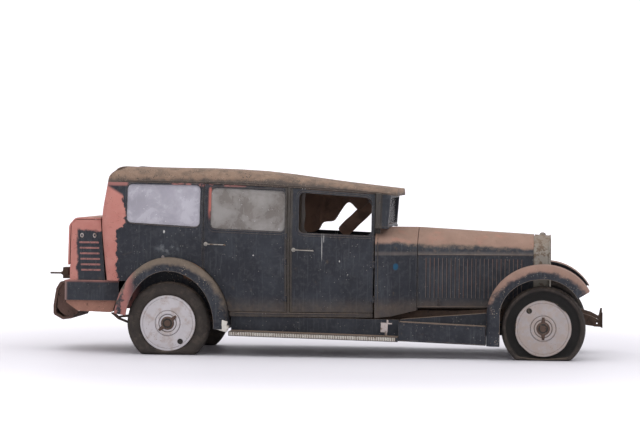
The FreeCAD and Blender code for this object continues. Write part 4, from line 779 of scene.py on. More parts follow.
def ridged(length, width, depth):
    """One pressed louvre standing up along Z, its ends run out into the panel."""
    block((width, depth * 2, length), (0, 0, 0), bevel=depth * 0.62, segments=3)
    edit()
    for way in (1, -1):
        pick("FACE", lambda face, way=way: face.calc_center_median().z * way > length / 2 - depth * 0.7)
        bpy.ops.transform.resize(value=(0.75, 0.15, 1), center_override=(0, 0, way * length / 2))
    out_of_edit()
    return bpy.context.object


# ------------------------------------------------------------------------------------------ wheels
TYRE_SECTION = [
    (-0.050, 0.254), (-0.056, 0.270), (-0.066, 0.284), (-0.079, 0.318), (-0.0815, 0.342), (-0.079, 0.362),
    (-0.0745, 0.378), (-0.068, 0.389), (-0.060, 0.397), (-0.050, 0.402), (-0.037, 0.4045), (-0.034, 0.399),
    (-0.028, 0.399), (-0.025, 0.406), (-0.010, 0.407), (-0.007, 0.400), (0.0, 0.400),
]
COLLAPSED_SECTION = [
    (-0.050, 0.254), (-0.054, 0.270), (-0.049, 0.284), (-0.037, 0.304), (-0.034, 0.326), (-0.041, 0.345),
    (-0.057, 0.358), (-0.070, 0.364), (-0.078, 0.372), (-0.079, 0.382), (-0.072, 0.393), (-0.057, 0.401),
    (-0.040, 0.4045), (-0.036, 0.399), (-0.028, 0.399), (-0.024, 0.406), (-0.010, 0.407), (-0.007, 0.400),
    (0.0, 0.400),
]
BEAD_RADIUS, CROWN_RADIUS = 0.254, 0.407
CUT_RADIUS, CUT_Y, CUT_DEPTH, CUT_DEGREES = 0.392, 0.036, 0.005, 3


def make_tyre(corner, axle_x, side, section):
    """A tyre let down onto the ground: ribbed tread, cross cuts, sidewalls that bulge at the flat."""
    centre = Vector((axle_x, side * TRACK / 2, AXLE_Z))
    profile = section + [(-y, r) for y, r in reversed(section[:-1])] + [section[0]]
    piece = turned(profile, centre, 120)
    edit()

    def is_cut(face):
        from_hub = face.calc_center_median() - centre
        turn = int(math.degrees(math.atan2(from_hub.x, from_hub.z)) // CUT_DEGREES)
        radius = math.hypot(from_hub.x, from_hub.z)
        return radius > CUT_RADIUS and abs(from_hub.y) > CUT_Y and turn % 3 == 0

    pick("FACE", is_cut)
    bpy.ops.mesh.extrude_region_shrink_fatten(TRANSFORM_OT_shrink_fatten={"value": -CUT_DEPTH})
    out_of_edit()
    sway, slack = chance.uniform(0, 6), 1.6 if section is COLLAPSED_SECTION else 0.6
    for vert in piece.data.vertices:
        away = vert.co - centre
        radius, turn = math.hypot(away.x, away.z), math.atan2(away.x, -away.z)
        share = max(0.0, min(1.0, (radius - BEAD_RADIUS) / (CROWN_RADIUS - BEAD_RADIUS)))
        waist = math.sin(math.pi * share)
        away.y *= 1 + 0.035 * waist * math.sin(5 * turn + sway) * slack
        floor_radius = AXLE_Z / max(0.2, math.cos(turn)) if abs(turn) < 1.3 else math.inf
        if floor_radius < CROWN_RADIUS:
            squeeze = (floor_radius - BEAD_RADIUS) / (CROWN_RADIUS - BEAD_RADIUS)
            new_radius = BEAD_RADIUS + (radius - BEAD_RADIUS) * squeeze
            away.x, away.z = away.x * new_radius / radius, away.z * new_radius / radius
            away.y *= 1 + 0.24 * (1 - squeeze) * waist
        vert.co = centre + away
    piece = settle(f"{corner}_flat_tyre", f"{corner}_wheel", RUBBER, 50)
    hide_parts(f"{corner}_tyre")


def make_wheel_cover(corner, axle_x, side, hole_turn, dents, finish):
    """The pressed alloy disc: turned rings, rolled edge, a hole for the valve."""
    face_y = TRACK / 2 + 0.0795
    profile = [
        (-0.022, 0.269), (-0.004, 0.2715), (0.0015, 0.269), (0.003, 0.264), (0.001, 0.25), (-0.0022, 0.248),
        (-0.0022, 0.245), (0.0005, 0.243), (0.0025, 0.2), (0.0036, 0.14), (0.0036, 0.128), (0.0, 0.1255),
        (0.0, 0.1215), (0.008, 0.118), (0.0105, 0.112), (0.0105, 0.096), (0.008, 0.0905), (0.002, 0.088),
        (0.002, 0.084), (0.007, 0.08), (0.008, 0.06),
    ]
    centre = Vector((axle_x, side * face_y, AXLE_Z))
    cover = turned([(side * y, r) for y, r in profile], centre, 96)
    deselect()
    turn = math.radians(hole_turn)
    hole_place = centre + Vector((math.cos(turn) * 0.216, 0, math.sin(turn) * 0.216))
    bpy.ops.mesh.primitive_cylinder_add(vertices=32, radius=0.0275, depth=0.05, location=hole_place,
                                        rotation=(math.pi / 2, 0, 0))
    cutter = bpy.context.object
    deselect()
    bpy.context.view_layer.objects.active = cover
    cover.select_set(True)
    modify(cover, "SOLIDIFY", thickness=0.0018, offset=0)
    modify(cover, "BOOLEAN", object=cutter, operation="DIFFERENCE", solver="EXACT")
    bpy.data.objects.remove(cutter)
    for angle, limit in dents:
        way = Vector((math.cos(math.radians(angle)), 0, math.sin(math.radians(angle))))
        for vert in cover.data.vertices:
            over = (vert.co - centre).dot(way) - limit
            if over > 0:
                vert.co += Vector((0, side * over * 0.5, 0)) - way * over * 0.92
    settle(f"{corner}_disc", f"{corner}_wheel", finish, 28)


def make_hub_nut(corner, axle_x, side, ear_turn):
    """Rusty centre nut with two lugs to hammer it round."""
    top_y = TRACK / 2 + 0.1035
    centre = Vector((axle_x, side * top_y, AXLE_Z))
    parts = [turned([(side * y, r) for y, r in (
        (-0.0205, 0.0), (-0.0205, 0.063), (-0.014, 0.0655), (-0.010, 0.058), (-0.002, 0.056), (0.0, 0.050),
        (-0.004, 0.040), (-0.004, 0.034), (0.001, 0.030), (0.001, 0.0))], centre, 40)]
    for way in (0, 180):
        lug = block((0.062, 0.017, 0.040), (0.079, 0, 0), bevel=0.006, segments=3)
        edit()
        pick("FACE", lambda face: face.calc_center_median().x > 0.100)
        bpy.ops.transform.resize(value=(1, 0.8, 0.62))
        out_of_edit()
        move = Matrix.Translation(centre + Vector((0, -side * 0.011, 0)))
        lug.data.transform(move @ Matrix.Rotation(-math.radians(ear_turn + way), 4, "Y"))
        parts.append(lug)
    join(parts)
    settle(f"{corner}_centre_nut", f"{corner}_wheel", NUT_RUST)


for end, axle_x, section, finish, hole_turn, ear_turn, dents in (
    ("front", FRONT_AXLE_X, COLLAPSED_SECTION, DIRTY_ALLOY, 129, 90,
     ((52, 0.257), (75, 0.264), (176, 0.262), (-28, 0.266), (228, 0.264))),
    ("rear", REAR_AXLE_X, TYRE_SECTION, ALLOY, -55, 40, ((205, 0.269),)),
):
    for side_name, side in SIDES.items():
        corner = f"{end}_{side_name}"
        make_tyre(corner, axle_x, side, section)
        make_wheel_cover(corner, axle_x, side, hole_turn, dents, finish)
        make_hub_nut(corner, axle_x, side, ear_turn)


# ---------------------------------------------------------------------------------- body mouldings
FRONT_WINDOW = [(-0.177, 1.598), (0.507, 1.544), (0.545, 1.180), (-0.186, 1.207)]
REAR_WINDOW = [(-1.039, 1.635), (-0.314, 1.607), (-0.317, 1.213), (-1.049, 1.239)]
QUARTER_WINDOW = [(-1.873, 1.665), (-1.143, 1.657), (-1.152, 1.249), (-1.876, 1.291)]
DOOR_FOOT, HANDLE_LENGTH = 0.440, 0.19
WINDOW_BEAD, DOOR_BEAD, EDGE_BEAD = 0.0042, 0.0038, 0.0048


def make_mouldings(side_name, side):
    """Half-round beading round the doors and windows, and the drip rail over them."""
    front, rear, quarter = f"{side_name}_front_door", f"{side_name}_rear_door", f"{side_name}_quarter_panel"
    for door, window, outer, edges, top, label in (
        (front, FRONT_WINDOW, 0.030, ((-0.243, -0.243), (0.540, 0.537)), 1.59, "front"),
        (rear, REAR_WINDOW, 0.034, ((-1.097, -1.097), (-0.311, -0.311)), 1.628, "rear"),
    ):
        parts = [rod(on_skin([door], rounded(window, 0.075, 0.013), side), WINDOW_BEAD, closed=True),
                 rod(on_skin([door], rounded(window, 0.090, outer), side), 0.0030, closed=True)]
        for x_low, x_high in edges:
            line = on_skin([door], straight((x_low, DOOR_FOOT), (x_high, top), 26), side)
            parts.append(rod(line, DOOR_BEAD))
        join(parts)
        settle(f"{side_name}_{label}_door_beading", door, BODY, 60)
    frame_line = on_skin([quarter], rounded(QUARTER_WINDOW, 0.085, 0.013), side)
    join([rod(frame_line, WINDOW_BEAD, closed=True),
          rod(on_skin([quarter], straight((-1.128, 0.92), (-1.128, 1.67), 20), side), DOOR_BEAD)])
    settle(f"{side_name}_quarter_window_beading", "chassis", BODY, 60)
    rail = on_skin(["roof"], straight((-1.93, 1.697), (-0.75, 1.688), 14)[:-1]
                   + straight((-0.75, 1.688), (0.30, 1.628), 12)
                   + straight((0.36, 1.622), (0.70, 1.590), 5), side, 0.003)
    if len(rail) > 3:
        rod(rail, 0.0065)
        settle(f"{side_name}_drip_rail", "chassis", ROOF, 60)
    panels = ["door_frames", "scuttle", "windscreen_frame"]
    join([rod(on_skin(panels, straight((x, 0.45), (x - 0.006, 1.60), 26), side), EDGE_BEAD)
          for x in (-0.278, 0.592)])
    settle(f"{side_name}_pillar_mouldings", "chassis", BODY, 60)


def make_windscreen_post(side_name, side):
    """The boxed post between the front door and the windscreen, from cowl to roof."""
    post = block((0.050, 0.046, 0.345), (0.590, side * 0.645, 1.425), (0, 0.02, 0), 0.007, 3)
    foot = block((0.120, 0.070, 0.020), (0.632, side * 0.634, 1.262), (0, 0.06, 0), 0.006)
    jamb = block((0.080, 0.012, 0.400), (0.570, side * 0.556, 1.400), (0, 0.02, 0), 0.004)
    join([post, foot, jamb])
    settle(f"{side_name}_windscreen_post", "chassis", BODY)


def make_handle(side, door, x_rose, z):
    """A long lever handle with its round rose, drooping slightly."""
    start = skin([door], x_rose, z, side)
    out = Vector((0, side, 0))
    tip = Vector((x_rose + HANDLE_LENGTH, start.y, z - 0.006))
    parts = [rod([start + out * 0.004, start + out * 0.030, start + out * 0.038 + Vector((0.012, 0, 0)),
                  start.lerp(tip, 0.5) + out * 0.040, tip + out * 0.036,
                  tip + out * 0.026 + Vector((0.007, 0, -0.004))], 0.0062, sides=3)]
    parts.append(turned([(0, 0.0), (0, 0.021), (side * 0.005, 0.019), (side * 0.008, 0.011),
                         (side * 0.008, 0.0)], start, 24))
    knob = turned([(-0.009, 0.0), (-0.008, 0.006), (0.0, 0.0095), (0.008, 0.006), (0.009, 0.0)],
                  tip + out * 0.034, 16)
    parts.append(knob)
    join(parts)
    settle(f"{door}_handle", door, PLATING)


def make_hinges(side, door, x, heights):
    """Three barrel hinges standing proud at a door's front edge."""
    parts = []
    for z in heights:
        place = skin([door], x - 0.020, z, side)
        if place is None:
            continue
        barrel = turned([(-0.032, 0.0), (-0.032, 0.006), (-0.030, 0.0078), (-0.011, 0.0078), (-0.010, 0.0068),
                         (-0.009, 0.0078), (0.030, 0.0078), (0.032, 0.006), (0.032, 0.0)], (0, 0, 0), 16)
        barrel.data.transform(Matrix.Rotation(math.pi / 2, 4, "X"))
        barrel.data.transform(Matrix.Translation((x - 0.004, place.y + side * 0.002, z)))
        leaf = block((0.034, 0.004, 0.052), (x - 0.024, place.y + side * 0.001, z), bevel=0.0015)
        parts += [barrel, leaf]
    join(parts)
    settle(f"{door}_hinges", door, SILL)


for side_name, side in SIDES.items():
    make_mouldings(side_name, side)
    make_windscreen_post(side_name, side)
    make_handle(side, f"{side_name}_rear_door", -1.088, 1.085)
    make_handle(side, f"{side_name}_front_door", -0.228, 1.038)
    make_hinges(side, f"{side_name}_rear_door", -0.296, (0.56, 0.92, 1.17))
    make_hinges(side, f"{side_name}_front_door", 0.556, (0.56, 0.90, 1.15))


# ------------------------------------------------------------------------------------------ bonnet
BONNET_REAR_X, BONNET_FRONT_X, BONNET_REAR_Y, BONNET_FRONT_Y = 0.967, 2.094, 0.491, 0.333
LOUVRE_COUNT, LOUVRE_PITCH, LOUVRE_LEAN = 24, 0.0405, 0.30


def bonnet_side_y(x):
    """Half the bonnet's width at x."""
    share = (x - BONNET_REAR_X) / (BONNET_FRONT_X - BONNET_REAR_X)
    return BONNET_REAR_Y + (BONNET_FRONT_Y - BONNET_REAR_Y) * share


def make_bonnet_details(side_name, side):
    """Twenty-four pressed louvres, the side's edge beads, hinge and two catches."""
    slope = side * math.atan2(BONNET_FRONT_Y - BONNET_REAR_Y, BONNET_FRONT_X - BONNET_REAR_X)
    louvre = ridged(0.392, 0.017, 0.0115)
    moves = []
    for index in range(LOUVRE_COUNT):
        x = 1.052 + index * LOUVRE_PITCH
        lean = Matrix.Rotation(slope - side * LOUVRE_LEAN, 4, "Z")
        moves.append(Matrix.Translation((x, side * (bonnet_side_y(x) + 0.001), 0.772 - index * 0.0004))
                     @ lean)
    repeat(louvre, moves)
    settle(f"{side_name}_bonnet_louvres", f"{side_name}_bonnet_side", LOUVRE, 40)

    def edge(z, x_low=0.970, x_high=2.090):
        return [(x, side * (bonnet_side_y(x) + 0.0005), z) for x in (x_low, (x_low + x_high) / 2, x_high)]

    low, rear, front = edge(0.488), 0.974, 2.086
    parts = [rod(low, 0.005), rod([(rear, side * (bonnet_side_y(rear) + 0.0005), z)
                                   for z in (0.486, 0.75, 0.990)], 0.0042),
             rod([(front, side * (bonnet_side_y(front) + 0.0005), z) for z in (0.486, 0.75, 0.988)], 0.0042)]
    for x in (1.18, 1.90):
        y = side * (bonnet_side_y(x) + 0.012)
        parts.append(rod([(x, y, 0.52), (x + 0.004, y + side * 0.012, 0.545), (x + 0.002, y, 0.575)], 0.007))
        parts.append(block((0.034, 0.016, 0.05), (x, side * (bonnet_side_y(x) + 0.006), 0.532),
                           (0, 0, slope), 0.004))
    join(parts)
    settle(f"{side_name}_bonnet_side_trim", f"{side_name}_bonnet_side", BONNET, 50)
    rod(edge(0.9985), 0.0055)
    settle(f"{side_name}_bonnet_hinge", f"{side_name}_bonnet_top", BONNET, 50)


def make_bonnet_centre():
    """The piano hinge along the bonnet's crown."""
    rod([(0.968, 0, 1.2545), (1.5, 0, 1.2270), (2.092, 0, 1.1945)], 0.0052)
    settle("bonnet_centre_hinge", "chassis", PLATING, 50)


for side_name, side in SIDES.items():
    make_bonnet_details(side_name, side)
make_bonnet_centre()


def make_radiator():
    """Filler cap, the upright fins and three rods in front of the core, and the shell's two rims."""
    cap = turned([(0, 0.0), (0, 0.031), (0.008, 0.034), (0.012, 0.029), (0.020, 0.029), (0.024, 0.024),
                  (0.030, 0.012), (0.031, 0.0)], (0, 0, 0), 28)
    cap.data.transform(Matrix.Translation((2.176, 0, 1.188)) @ Matrix.Rotation(math.pi / 2, 4, "X"))
    settle("radiator_cap", "chassis", PLATING)
    fin = block((0.007, 0.0035, 0.655), (0, 0, 0), bevel=0.0012)
    moves = []
    for index in range(-15, 16):
        y = index * 0.0186
        rise = 0.07 * (abs(index) / 15) ** 2.2
        squash = Matrix.Scale(1 - rise / 0.655, 4, (0, 0, 1))
        moves.append(Matrix.Translation((2.2155, y, 0.790 - rise / 2)) @ squash)
    fins = repeat(fin, moves)
    rods = [rod([(2.217, -0.285, z), (2.2185, 0, z), (2.217, 0.285, z)], 0.0035) for z in (0.56, 0.76, 0.96)]
    join([fins] + rods)
    settle("radiator_fins", "chassis", SOOT)
    outline = [(0.328, 0.47), (0.330, 0.80), (0.327, 1.00), (0.305, 1.075), (0.235, 1.145), (0.12, 1.180),
               (0, 1.191)]
    rim = [(2.250, y, z) for y, z in outline] + [(2.250, -y, z) for y, z in reversed(outline[:-1])]
    inner = [(2.247, y * 0.93, z - 0.022) for _, y, z in rim]
    join([rod(rim, 0.0075), rod(inner, 0.005)])
    settle("radiator_shell_rim", "chassis", SHELL, 60)
    arch = []
    for side in (1, -1):
        label = "left" if side > 0 else "right"
        names = (f"{label}_bonnet_side", f"{label}_bonnet_top")
        half = on_skin(names, [(2.088, 0.50 + 0.02 * index) for index in range(35)], side, -0.002)
        arch += half if side > 0 else half[::-1]
    rod([(2.1005, point.y, point.z) for point in arch], 0.0055)
    settle("radiator_shell_rear_rim", "chassis", SHELL, 60)


make_radiator()


# ----------------------------------------------------------------------------------------- fenders
def ellipse_points(centre_x, base_z, height, spans, drop):
    """Points along a fender's lower edge: drop inside its crown, square to the crown's curve."""
    found = []
    for half, start, end, count in spans:
        for index in range(count + 1):
            turn = math.radians(start + (end - start) * index / count)
            out = Vector((math.cos(turn) / half, math.sin(turn) / height)).normalized()
            point = Vector((centre_x + half * math.cos(turn), base_z + height * math.sin(turn)))
            found.append(point - out * drop)
    return found


def make_fender_beads(side_name, side):
    """Wired edges rolled into the foot of each valance, and the stay at the rear fender's toe."""
    rear = ellipse_points(REAR_AXLE_X, 0.300, 0.651, ((0.590, 0, 90, 16), (0.538, 92, 171, 16)), LIP_DROP)
    rear = [Vector((rear[0].x, 0.266))] + rear
    front = ellipse_points(FRONT_AXLE_X, 0.440, 0.478, ((0.546, 180, 90, 16), (0.503, 88, 29, 12)), LIP_DROP)
    front = [Vector((front[0].x, 0.138))] + front
    for label, line in (("rear", rear), ("front", front)):
        rod([(point.x, side * FENDER_EDGE_Y, point.y) for point in line], EDGE_BEAD)
        settle(f"{side_name}_{label}_fender_bead", "chassis", EDGE_PAINT, 60)
    plate = block((0.088, 0.012, 0.105), (-0.905, side * 0.882, 0.300), (0, 0.30, 0), 0.004, 2)
    edit()
    bpy.ops.mesh.subdivide(number_cuts=2)
    out_of_edit()
    for vert in plate.data.vertices:
        vert.co.y -= side * (0.006 + 0.010 * abs(math.sin(vert.co.x * 70) * math.cos(vert.co.z * 55)))
    lug = block((0.030, 0.050, 0.060), (-0.862, side * 0.850, 0.268), (0.2, 0.4, 0), 0.005, 2)
    join([plate, lug])
    settle(f"{side_name}_fender_stay", "chassis", STRIP)


def make_board(side_name, side):
    """The running board's ribbed alloy edge with its screws, and the ribbed mat on its top."""
    length, from_x, fall, rib_pitch, screw_pitch = 1.620, -0.836, -0.036 / 1.644, 0.0168, 0.16
    tilt = Matrix.Rotation(-math.atan(fall), 4, "Y")
    base = block((length, 0.006, 0.037), (0, 0, 0), bevel=0.002)
    rib = block((0.0075, 0.0052, 0.033), (0, 0, 0), bevel=0.0016)
    ribs = repeat(rib, [Matrix.Translation((-length / 2 + 0.012 + rib_pitch * index, side * 0.0042, 0))
                        for index in range(96)])
    screw = turned([(0, 0.0), (0, 0.006), (side * 0.003, 0.004), (side * 0.0035, 0.0)], (0, 0, 0), 12)
    screws = repeat(screw, [Matrix.Translation((-length / 2 + 0.09 + screw_pitch * index, side * 0.0065, 0))
                            for index in range(10)])
    for label, finish, pieces in (("backing", SHELL, [base]), ("ribs", STRIP, [ribs, screws])):
        part = join(pieces)
        part.data.transform(Matrix.Translation((from_x + length / 2, side * 0.8752, 0.2055)) @ tilt)
        settle(f"{side_name}_board_{label}", "chassis", finish)
    groove = block((length - 0.02, 0.010, 0.004), (0, 0, 0), bevel=0.0016)
    mat = repeat(groove, [Matrix.Translation((0, side * offset, 0)) for offset in
                          [0.690 + 0.0165 * index for index in range(11)]])
    mat.data.transform(Matrix.Translation((from_x + length / 2, 0, 0.2290)) @ tilt)
    settle(f"{side_name}_board_mat", "chassis", SILL)


def make_sill_details(side_name, side):
    """The pale bracket ahead of the board, the sill's lip and rivets along the apron."""
    parts = [block((0.068, 0.008, 0.082), (0.672, side * 0.846, 0.296), (0, 0.05, 0), 0.003),
             block((0.110, 0.020, 0.013), (0.692, side * 0.838, 0.340), (0, 0.03, 0), 0.003),
             block((0.014, 0.060, 0.036), (0.700, side * 0.815, 0.356), (0, 0, 0.2), 0.003),
             block((0.020, 0.010, 0.045), (0.690, side * 0.845, 0.248), (0, -0.05, 0), 0.003)]
    join(parts)
    settle(f"{side_name}_board_bracket", "chassis", PALE)
    lip = [(x, side * y, z) for x, y, z in ((0.812, 0.796, 0.352), (1.20, 0.796, 0.333),
                                            (1.642, 0.796, 0.319))]
    foot = [(x, side * y, z) for x, y, z in ((0.812, 0.796, 0.172), (1.05, 0.794, 0.174),
                                             (1.30, 0.795, 0.158), (1.642, 0.796, 0.142))]
    rivet = turned([(0, 0.0), (0, 0.0065), (side * 0.003, 0.0045), (side * 0.004, 0.0)], (0, 0, 0), 12)
    rivets = repeat(rivet, [Matrix.Translation((0.86 + 0.124 * index, side * 0.798, 0.325 - 0.0050 * index))
                            for index in range(7)])
    join([rod(lip, 0.006), rod(foot, 0.0048), rivets])
    settle(f"{side_name}_apron_trim", "chassis", SILL)
    sill = [skin(["door_frames"], x, 0.412, side) for x in [-0.80 + 0.1 * i for i in range(13)]]
    sill = [point for point in sill if point is not None]
    if len(sill) > 2:
        rod(sill, 0.005)
        settle(f"{side_name}_sill_bead", "chassis", SILL, 60)


for side_name, side in SIDES.items():
    make_fender_beads(side_name, side)
    make_board(side_name, side)
    make_sill_details(side_name, side)


# -------------------------------------------------------------------------------------------- tail
def make_trunk_details(side_name, side):
    """Six pressed louvres and two eyelets on each of the trunk's sides."""
    louvre = ridged(0.196, 0.024, 0.012)
    moves = []
    for index in range(6):
        z = 1.083 - 0.0542 * index
        lean = Matrix.Rotation(math.pi / 2, 4, "Y")
        moves.append(Matrix.Translation((-2.268 + 0.004 * index, side * TRUNK_SIDE_Y, z)) @ lean)
    repeat(louvre, moves)
    settle(f"{side_name}_trunk_louvres", "chassis", LOUVRE_PINK, 40)
    ring = [(side * -0.002, 0.016), (side * 0.004, 0.0175), (side * 0.007, 0.014), (side * 0.004, 0.0085),
            (side * -0.002, 0.009)]
    eyes = []
    for x in (-2.339, -2.212):
        eye = turned(ring + ring[:1], (0, 0, 0), 24)
        place = Matrix.Translation((x, side * TRUNK_SIDE_Y, 1.152))
        eye.data.transform(place @ Matrix.Scale(1.35, 4, (0, 0, 1)))
        eyes.append(eye)
    join(eyes)
    settle(f"{side_name}_trunk_eyelets", "chassis", PALE)


def make_tail_details():
    """Trunk lid hinges and handle, deck beads and bolts, fender braces, apron ends, washer and nut."""
    for side_name, side in SIDES.items():
        strap = block((0.090, 0.034, 0.005), (-2.190, side * 0.36, 1.330), (0, 0.02, 0), 0.002)
        knuckle = rod([(-2.152, side * 0.335, 1.3315), (-2.152, side * 0.385, 1.3315)], 0.0065)
        join([strap, knuckle])
        settle(f"{side_name}_trunk_hinge", "trunk_lid", PLATING)
        line = [(x, side * 0.6235, 0.706) for x in (-2.497, -2.2, -1.972)]
        corner = [(-2.5045, side * y, 0.706) for y in (0.618, 0.3, 0.0)]
        join([rod(line, EDGE_BEAD), rod(corner, EDGE_BEAD)])
        settle(f"{side_name}_deck_bead", "chassis", DECK, 60)
        join([rod([(-2.020 + shift, side * 0.70, 0.398), (-1.960 + shift, side * 0.66, 0.340),
                   (-1.86 + shift, side * 0.58, 0.292), (-1.70, side * 0.44, 0.268)], 0.008)
              for shift in (0, 0.012, 0.024)])
        settle(f"{side_name}_fender_brace", "chassis", CHASSIS)
        outline = [(-2.49, 0.700), (-2.535, 0.698), (-2.585, 0.655), (-2.612, 0.56), (-2.618, 0.43),
                   (-2.585, 0.385), (-2.53, 0.345), (-2.46, 0.352), (-2.41, 0.375), (-2.395, 0.42),
                   (-2.44, 0.46), (-2.475, 0.52), (-2.487, 0.60)]
        chain([(x, side * 0.412, z) for x, z in outline])
        take_all()
        bpy.ops.mesh.edge_face_add()
        bpy.ops.mesh.extrude_region_move(TRANSFORM_OT_translate={"value": (0, side * 0.006, 0)})
        take_all()
        bpy.ops.mesh.inset(thickness=0.016)
        bpy.ops.mesh.inset(thickness=0.020)
        take_all()
        bpy.ops.mesh.normals_make_consistent(inside=False)
        out_of_edit()
        for vert in bpy.context.object.data.vertices:
            vert.co.y += side * 0.004 * math.sin(vert.co.x * 61) * math.cos(vert.co.z * 47)
        settle(f"{side_name}_apron_end", "chassis", APRON)
    join([turned([(0, 0.0), (0, 0.010), (-0.004, 0.008), (-0.006, 0.0)], (-2.505, y, z), 14, (1, 0, 0))
          for y in (-0.5, 0.5) for z in (0.55, 0.67)])
    settle("deck_bolts", "chassis", CHASSIS)
    ring = turned([(-0.0035, 0.0095), (0.0, 0.0135), (0.0035, 0.0095), (0.0, 0.0065), (-0.0035, 0.0095)],
                  (0, 0, 0), 20)
    ring.data.transform(Matrix.Translation((-1.500, -0.800, 0.9555)) @ Matrix.Rotation(0.35, 4, "X"))
    settle("loose_washer", "chassis", PALE)
    rod([(-2.474, -0.06, 0.905), (-2.492, -0.055, 0.905), (-2.494, 0, 0.903), (-2.492, 0.055, 0.905),
         (-2.474, 0.06, 0.905)], 0.0065, sides=3)
    settle("trunk_lid_handle", "trunk_lid", PLATING)
    turned([(0, 0.0), (0, 0.030), (-0.012, 0.030), (-0.012, 0.016), (-0.026, 0.016), (-0.026, 0.0)],
           (-2.634, 0, 0.754), 6, (1, 0, 0))
    settle("carrier_nut", "chassis", CHASSIS, 20)


for side_name, side in SIDES.items():
    make_trunk_details(side_name, side)
make_tail_details()


# ------------------------------------------------------------------------------------------ inside
def cushion(name, low, high, channels, crown):
    """A stuffed pad: crowned, drawn in between its corners, sewn into channels."""
    low, high = Vector(low), Vector(high)
    middle, span = (low + high) / 2, high - low
    deselect()
    bpy.ops.mesh.primitive_cube_add(size=1, location=middle)
    bpy.context.object.scale = span
    apply_place()
    edit()
    bpy.ops.mesh.bevel(offset=min(span) * 0.28, segments=3, affect="EDGES")
    take_all()
    bpy.ops.mesh.subdivide(number_cuts=5)
    out_of_edit()
    piece = bpy.context.object
    thin = min(range(3), key=lambda axis: span[axis])
    wide = [axis for axis in range(3) if axis != thin]
    for vert in piece.data.vertices:
        share = [(vert.co[axis] - middle[axis]) / (span[axis] / 2) for axis in range(3)]
        round_off = (1 - share[wide[0]] ** 2) * (1 - share[wide[1]] ** 2)
        along = (vert.co.y - low.y) / span.y
        seam = abs(math.sin(math.pi * along * channels)) ** 0.45
        top = max(0.0, share[thin])
        vert.co[thin] += top * (crown * round_off - 0.016 * (1 - seam))
        for axis in wide:
            vert.co[axis] -= share[axis] * 0.016 * (1 - abs(share[wide[0]] * share[wide[1]]))
    modify(piece, "SUBSURF", levels=1, render_levels=1)
    piece = settle(name, "chassis", CLOTH, 80)
    return piece


def make_seats():
    """Front and rear seats: a padded cushion and back each, over a wooden box."""
    low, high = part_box("front_seat")
    seat = cushion("front_seat_cushion", (low.x + 0.10, low.y + 0.01, 0.60),
                   (high.x - 0.01, high.y - 0.01, 0.815), 12, 0.03)
    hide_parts("front_seat")
    cushion("front_seat_back", (low.x + 0.012, low.y + 0.01, 0.80),
            (low.x + 0.145, high.y - 0.01, high.z - 0.01), 12, 0.022)
    block((0.46, high.y - low.y - 0.06, 0.12), ((low.x + high.x) / 2 + 0.02, 0, low.z + 0.062), bevel=0.01)
    settle("front_seat_box", "chassis", PANEL_WOOD)
    low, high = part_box("rear_seat")
    seat = cushion("rear_seat_cushion", (low.x + 0.17, low.y + 0.01, 0.68),
                   (high.x - 0.01, high.y - 0.01, 0.875), 9, 0.028)
    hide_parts("rear_seat")
    cushion("rear_seat_back", (low.x + 0.015, low.y + 0.01, 0.84),
            (low.x + 0.185, high.y - 0.01, high.z - 0.01), 9, 0.03)
    block((0.58, high.y - low.y - 0.06, 0.10), ((low.x + high.x) / 2 + 0.08, 0, low.z + 0.054), bevel=0.01)
    settle("rear_seat_box", "chassis", PANEL_WOOD)


def make_sheet(name, grid):
    """A thin torn sheet through rows of points, with ripples worked in."""
    rows, columns = len(grid), len(grid[0])
    deselect()
    bpy.ops.mesh.primitive_grid_add(x_subdivisions=columns - 1, y_subdivisions=rows - 1, size=1)
    piece = bpy.context.object
    order = sorted(piece.data.vertices, key=lambda vert: (round(vert.co.y, 4), round(vert.co.x, 4)))
    for index, vert in enumerate(order):
        vert.co = Vector(grid[index // columns][index % columns])
    modify(piece, "SUBSURF", levels=2, render_levels=2)
    modify(piece, "SOLIDIFY", thickness=0.0022, offset=0)
    piece = settle(name, "chassis", LINING, 80)


def make_lining():
    """The headlining hanging down torn behind the front window, and a strip fallen from it."""
    lower_edge = [(-0.205, 1.19), (-0.12, 1.19), (-0.045, 1.225), (-0.035, 1.295), (0.04, 1.302),
                  (0.108, 1.300), (0.142, 1.36), (0.172, 1.43), (0.228, 1.518), (0.285, 1.460),
                  (0.345, 1.395), (0.42, 1.470), (0.50, 1.54)]
    rows = []
    for row in range(7):
        line = []
        for index, (x, low) in enumerate(lower_edge):
            top = 1.690 - 0.10 * max(0, x)
            share = row / 6
            fold = 0.022 * math.sin(index * 1.9 + 0.6) * share + 0.012 * math.sin(index * 3.1 + row)
            line.append((x + 0.010 * math.sin(row * 2 + index), 0.16 + fold - 0.10 * share,
                         top + (low - top) * share))
        rows.append(line)
    make_sheet("torn_headlining", rows)
    rows = []
    for row in range(9):
        share = row / 8
        start, end = Vector((0.505, 0.30, 1.545)), Vector((0.175, 0.02, 1.185))
        middle = start.lerp(end, share) + Vector((0.005 * math.sin(6 * share), 0.0,
                                                  -0.006 * math.sin(math.pi * share)))
        across = Vector((0.046, 0.006 * math.sin(row), -0.046)) * (1 + 0.05 * math.sin(row * 2.3))
        rows.append([tuple(middle - across), tuple(middle + Vector((0, 0.014, 0))), tuple(middle + across)])
    make_sheet("fallen_lining_strip", rows)


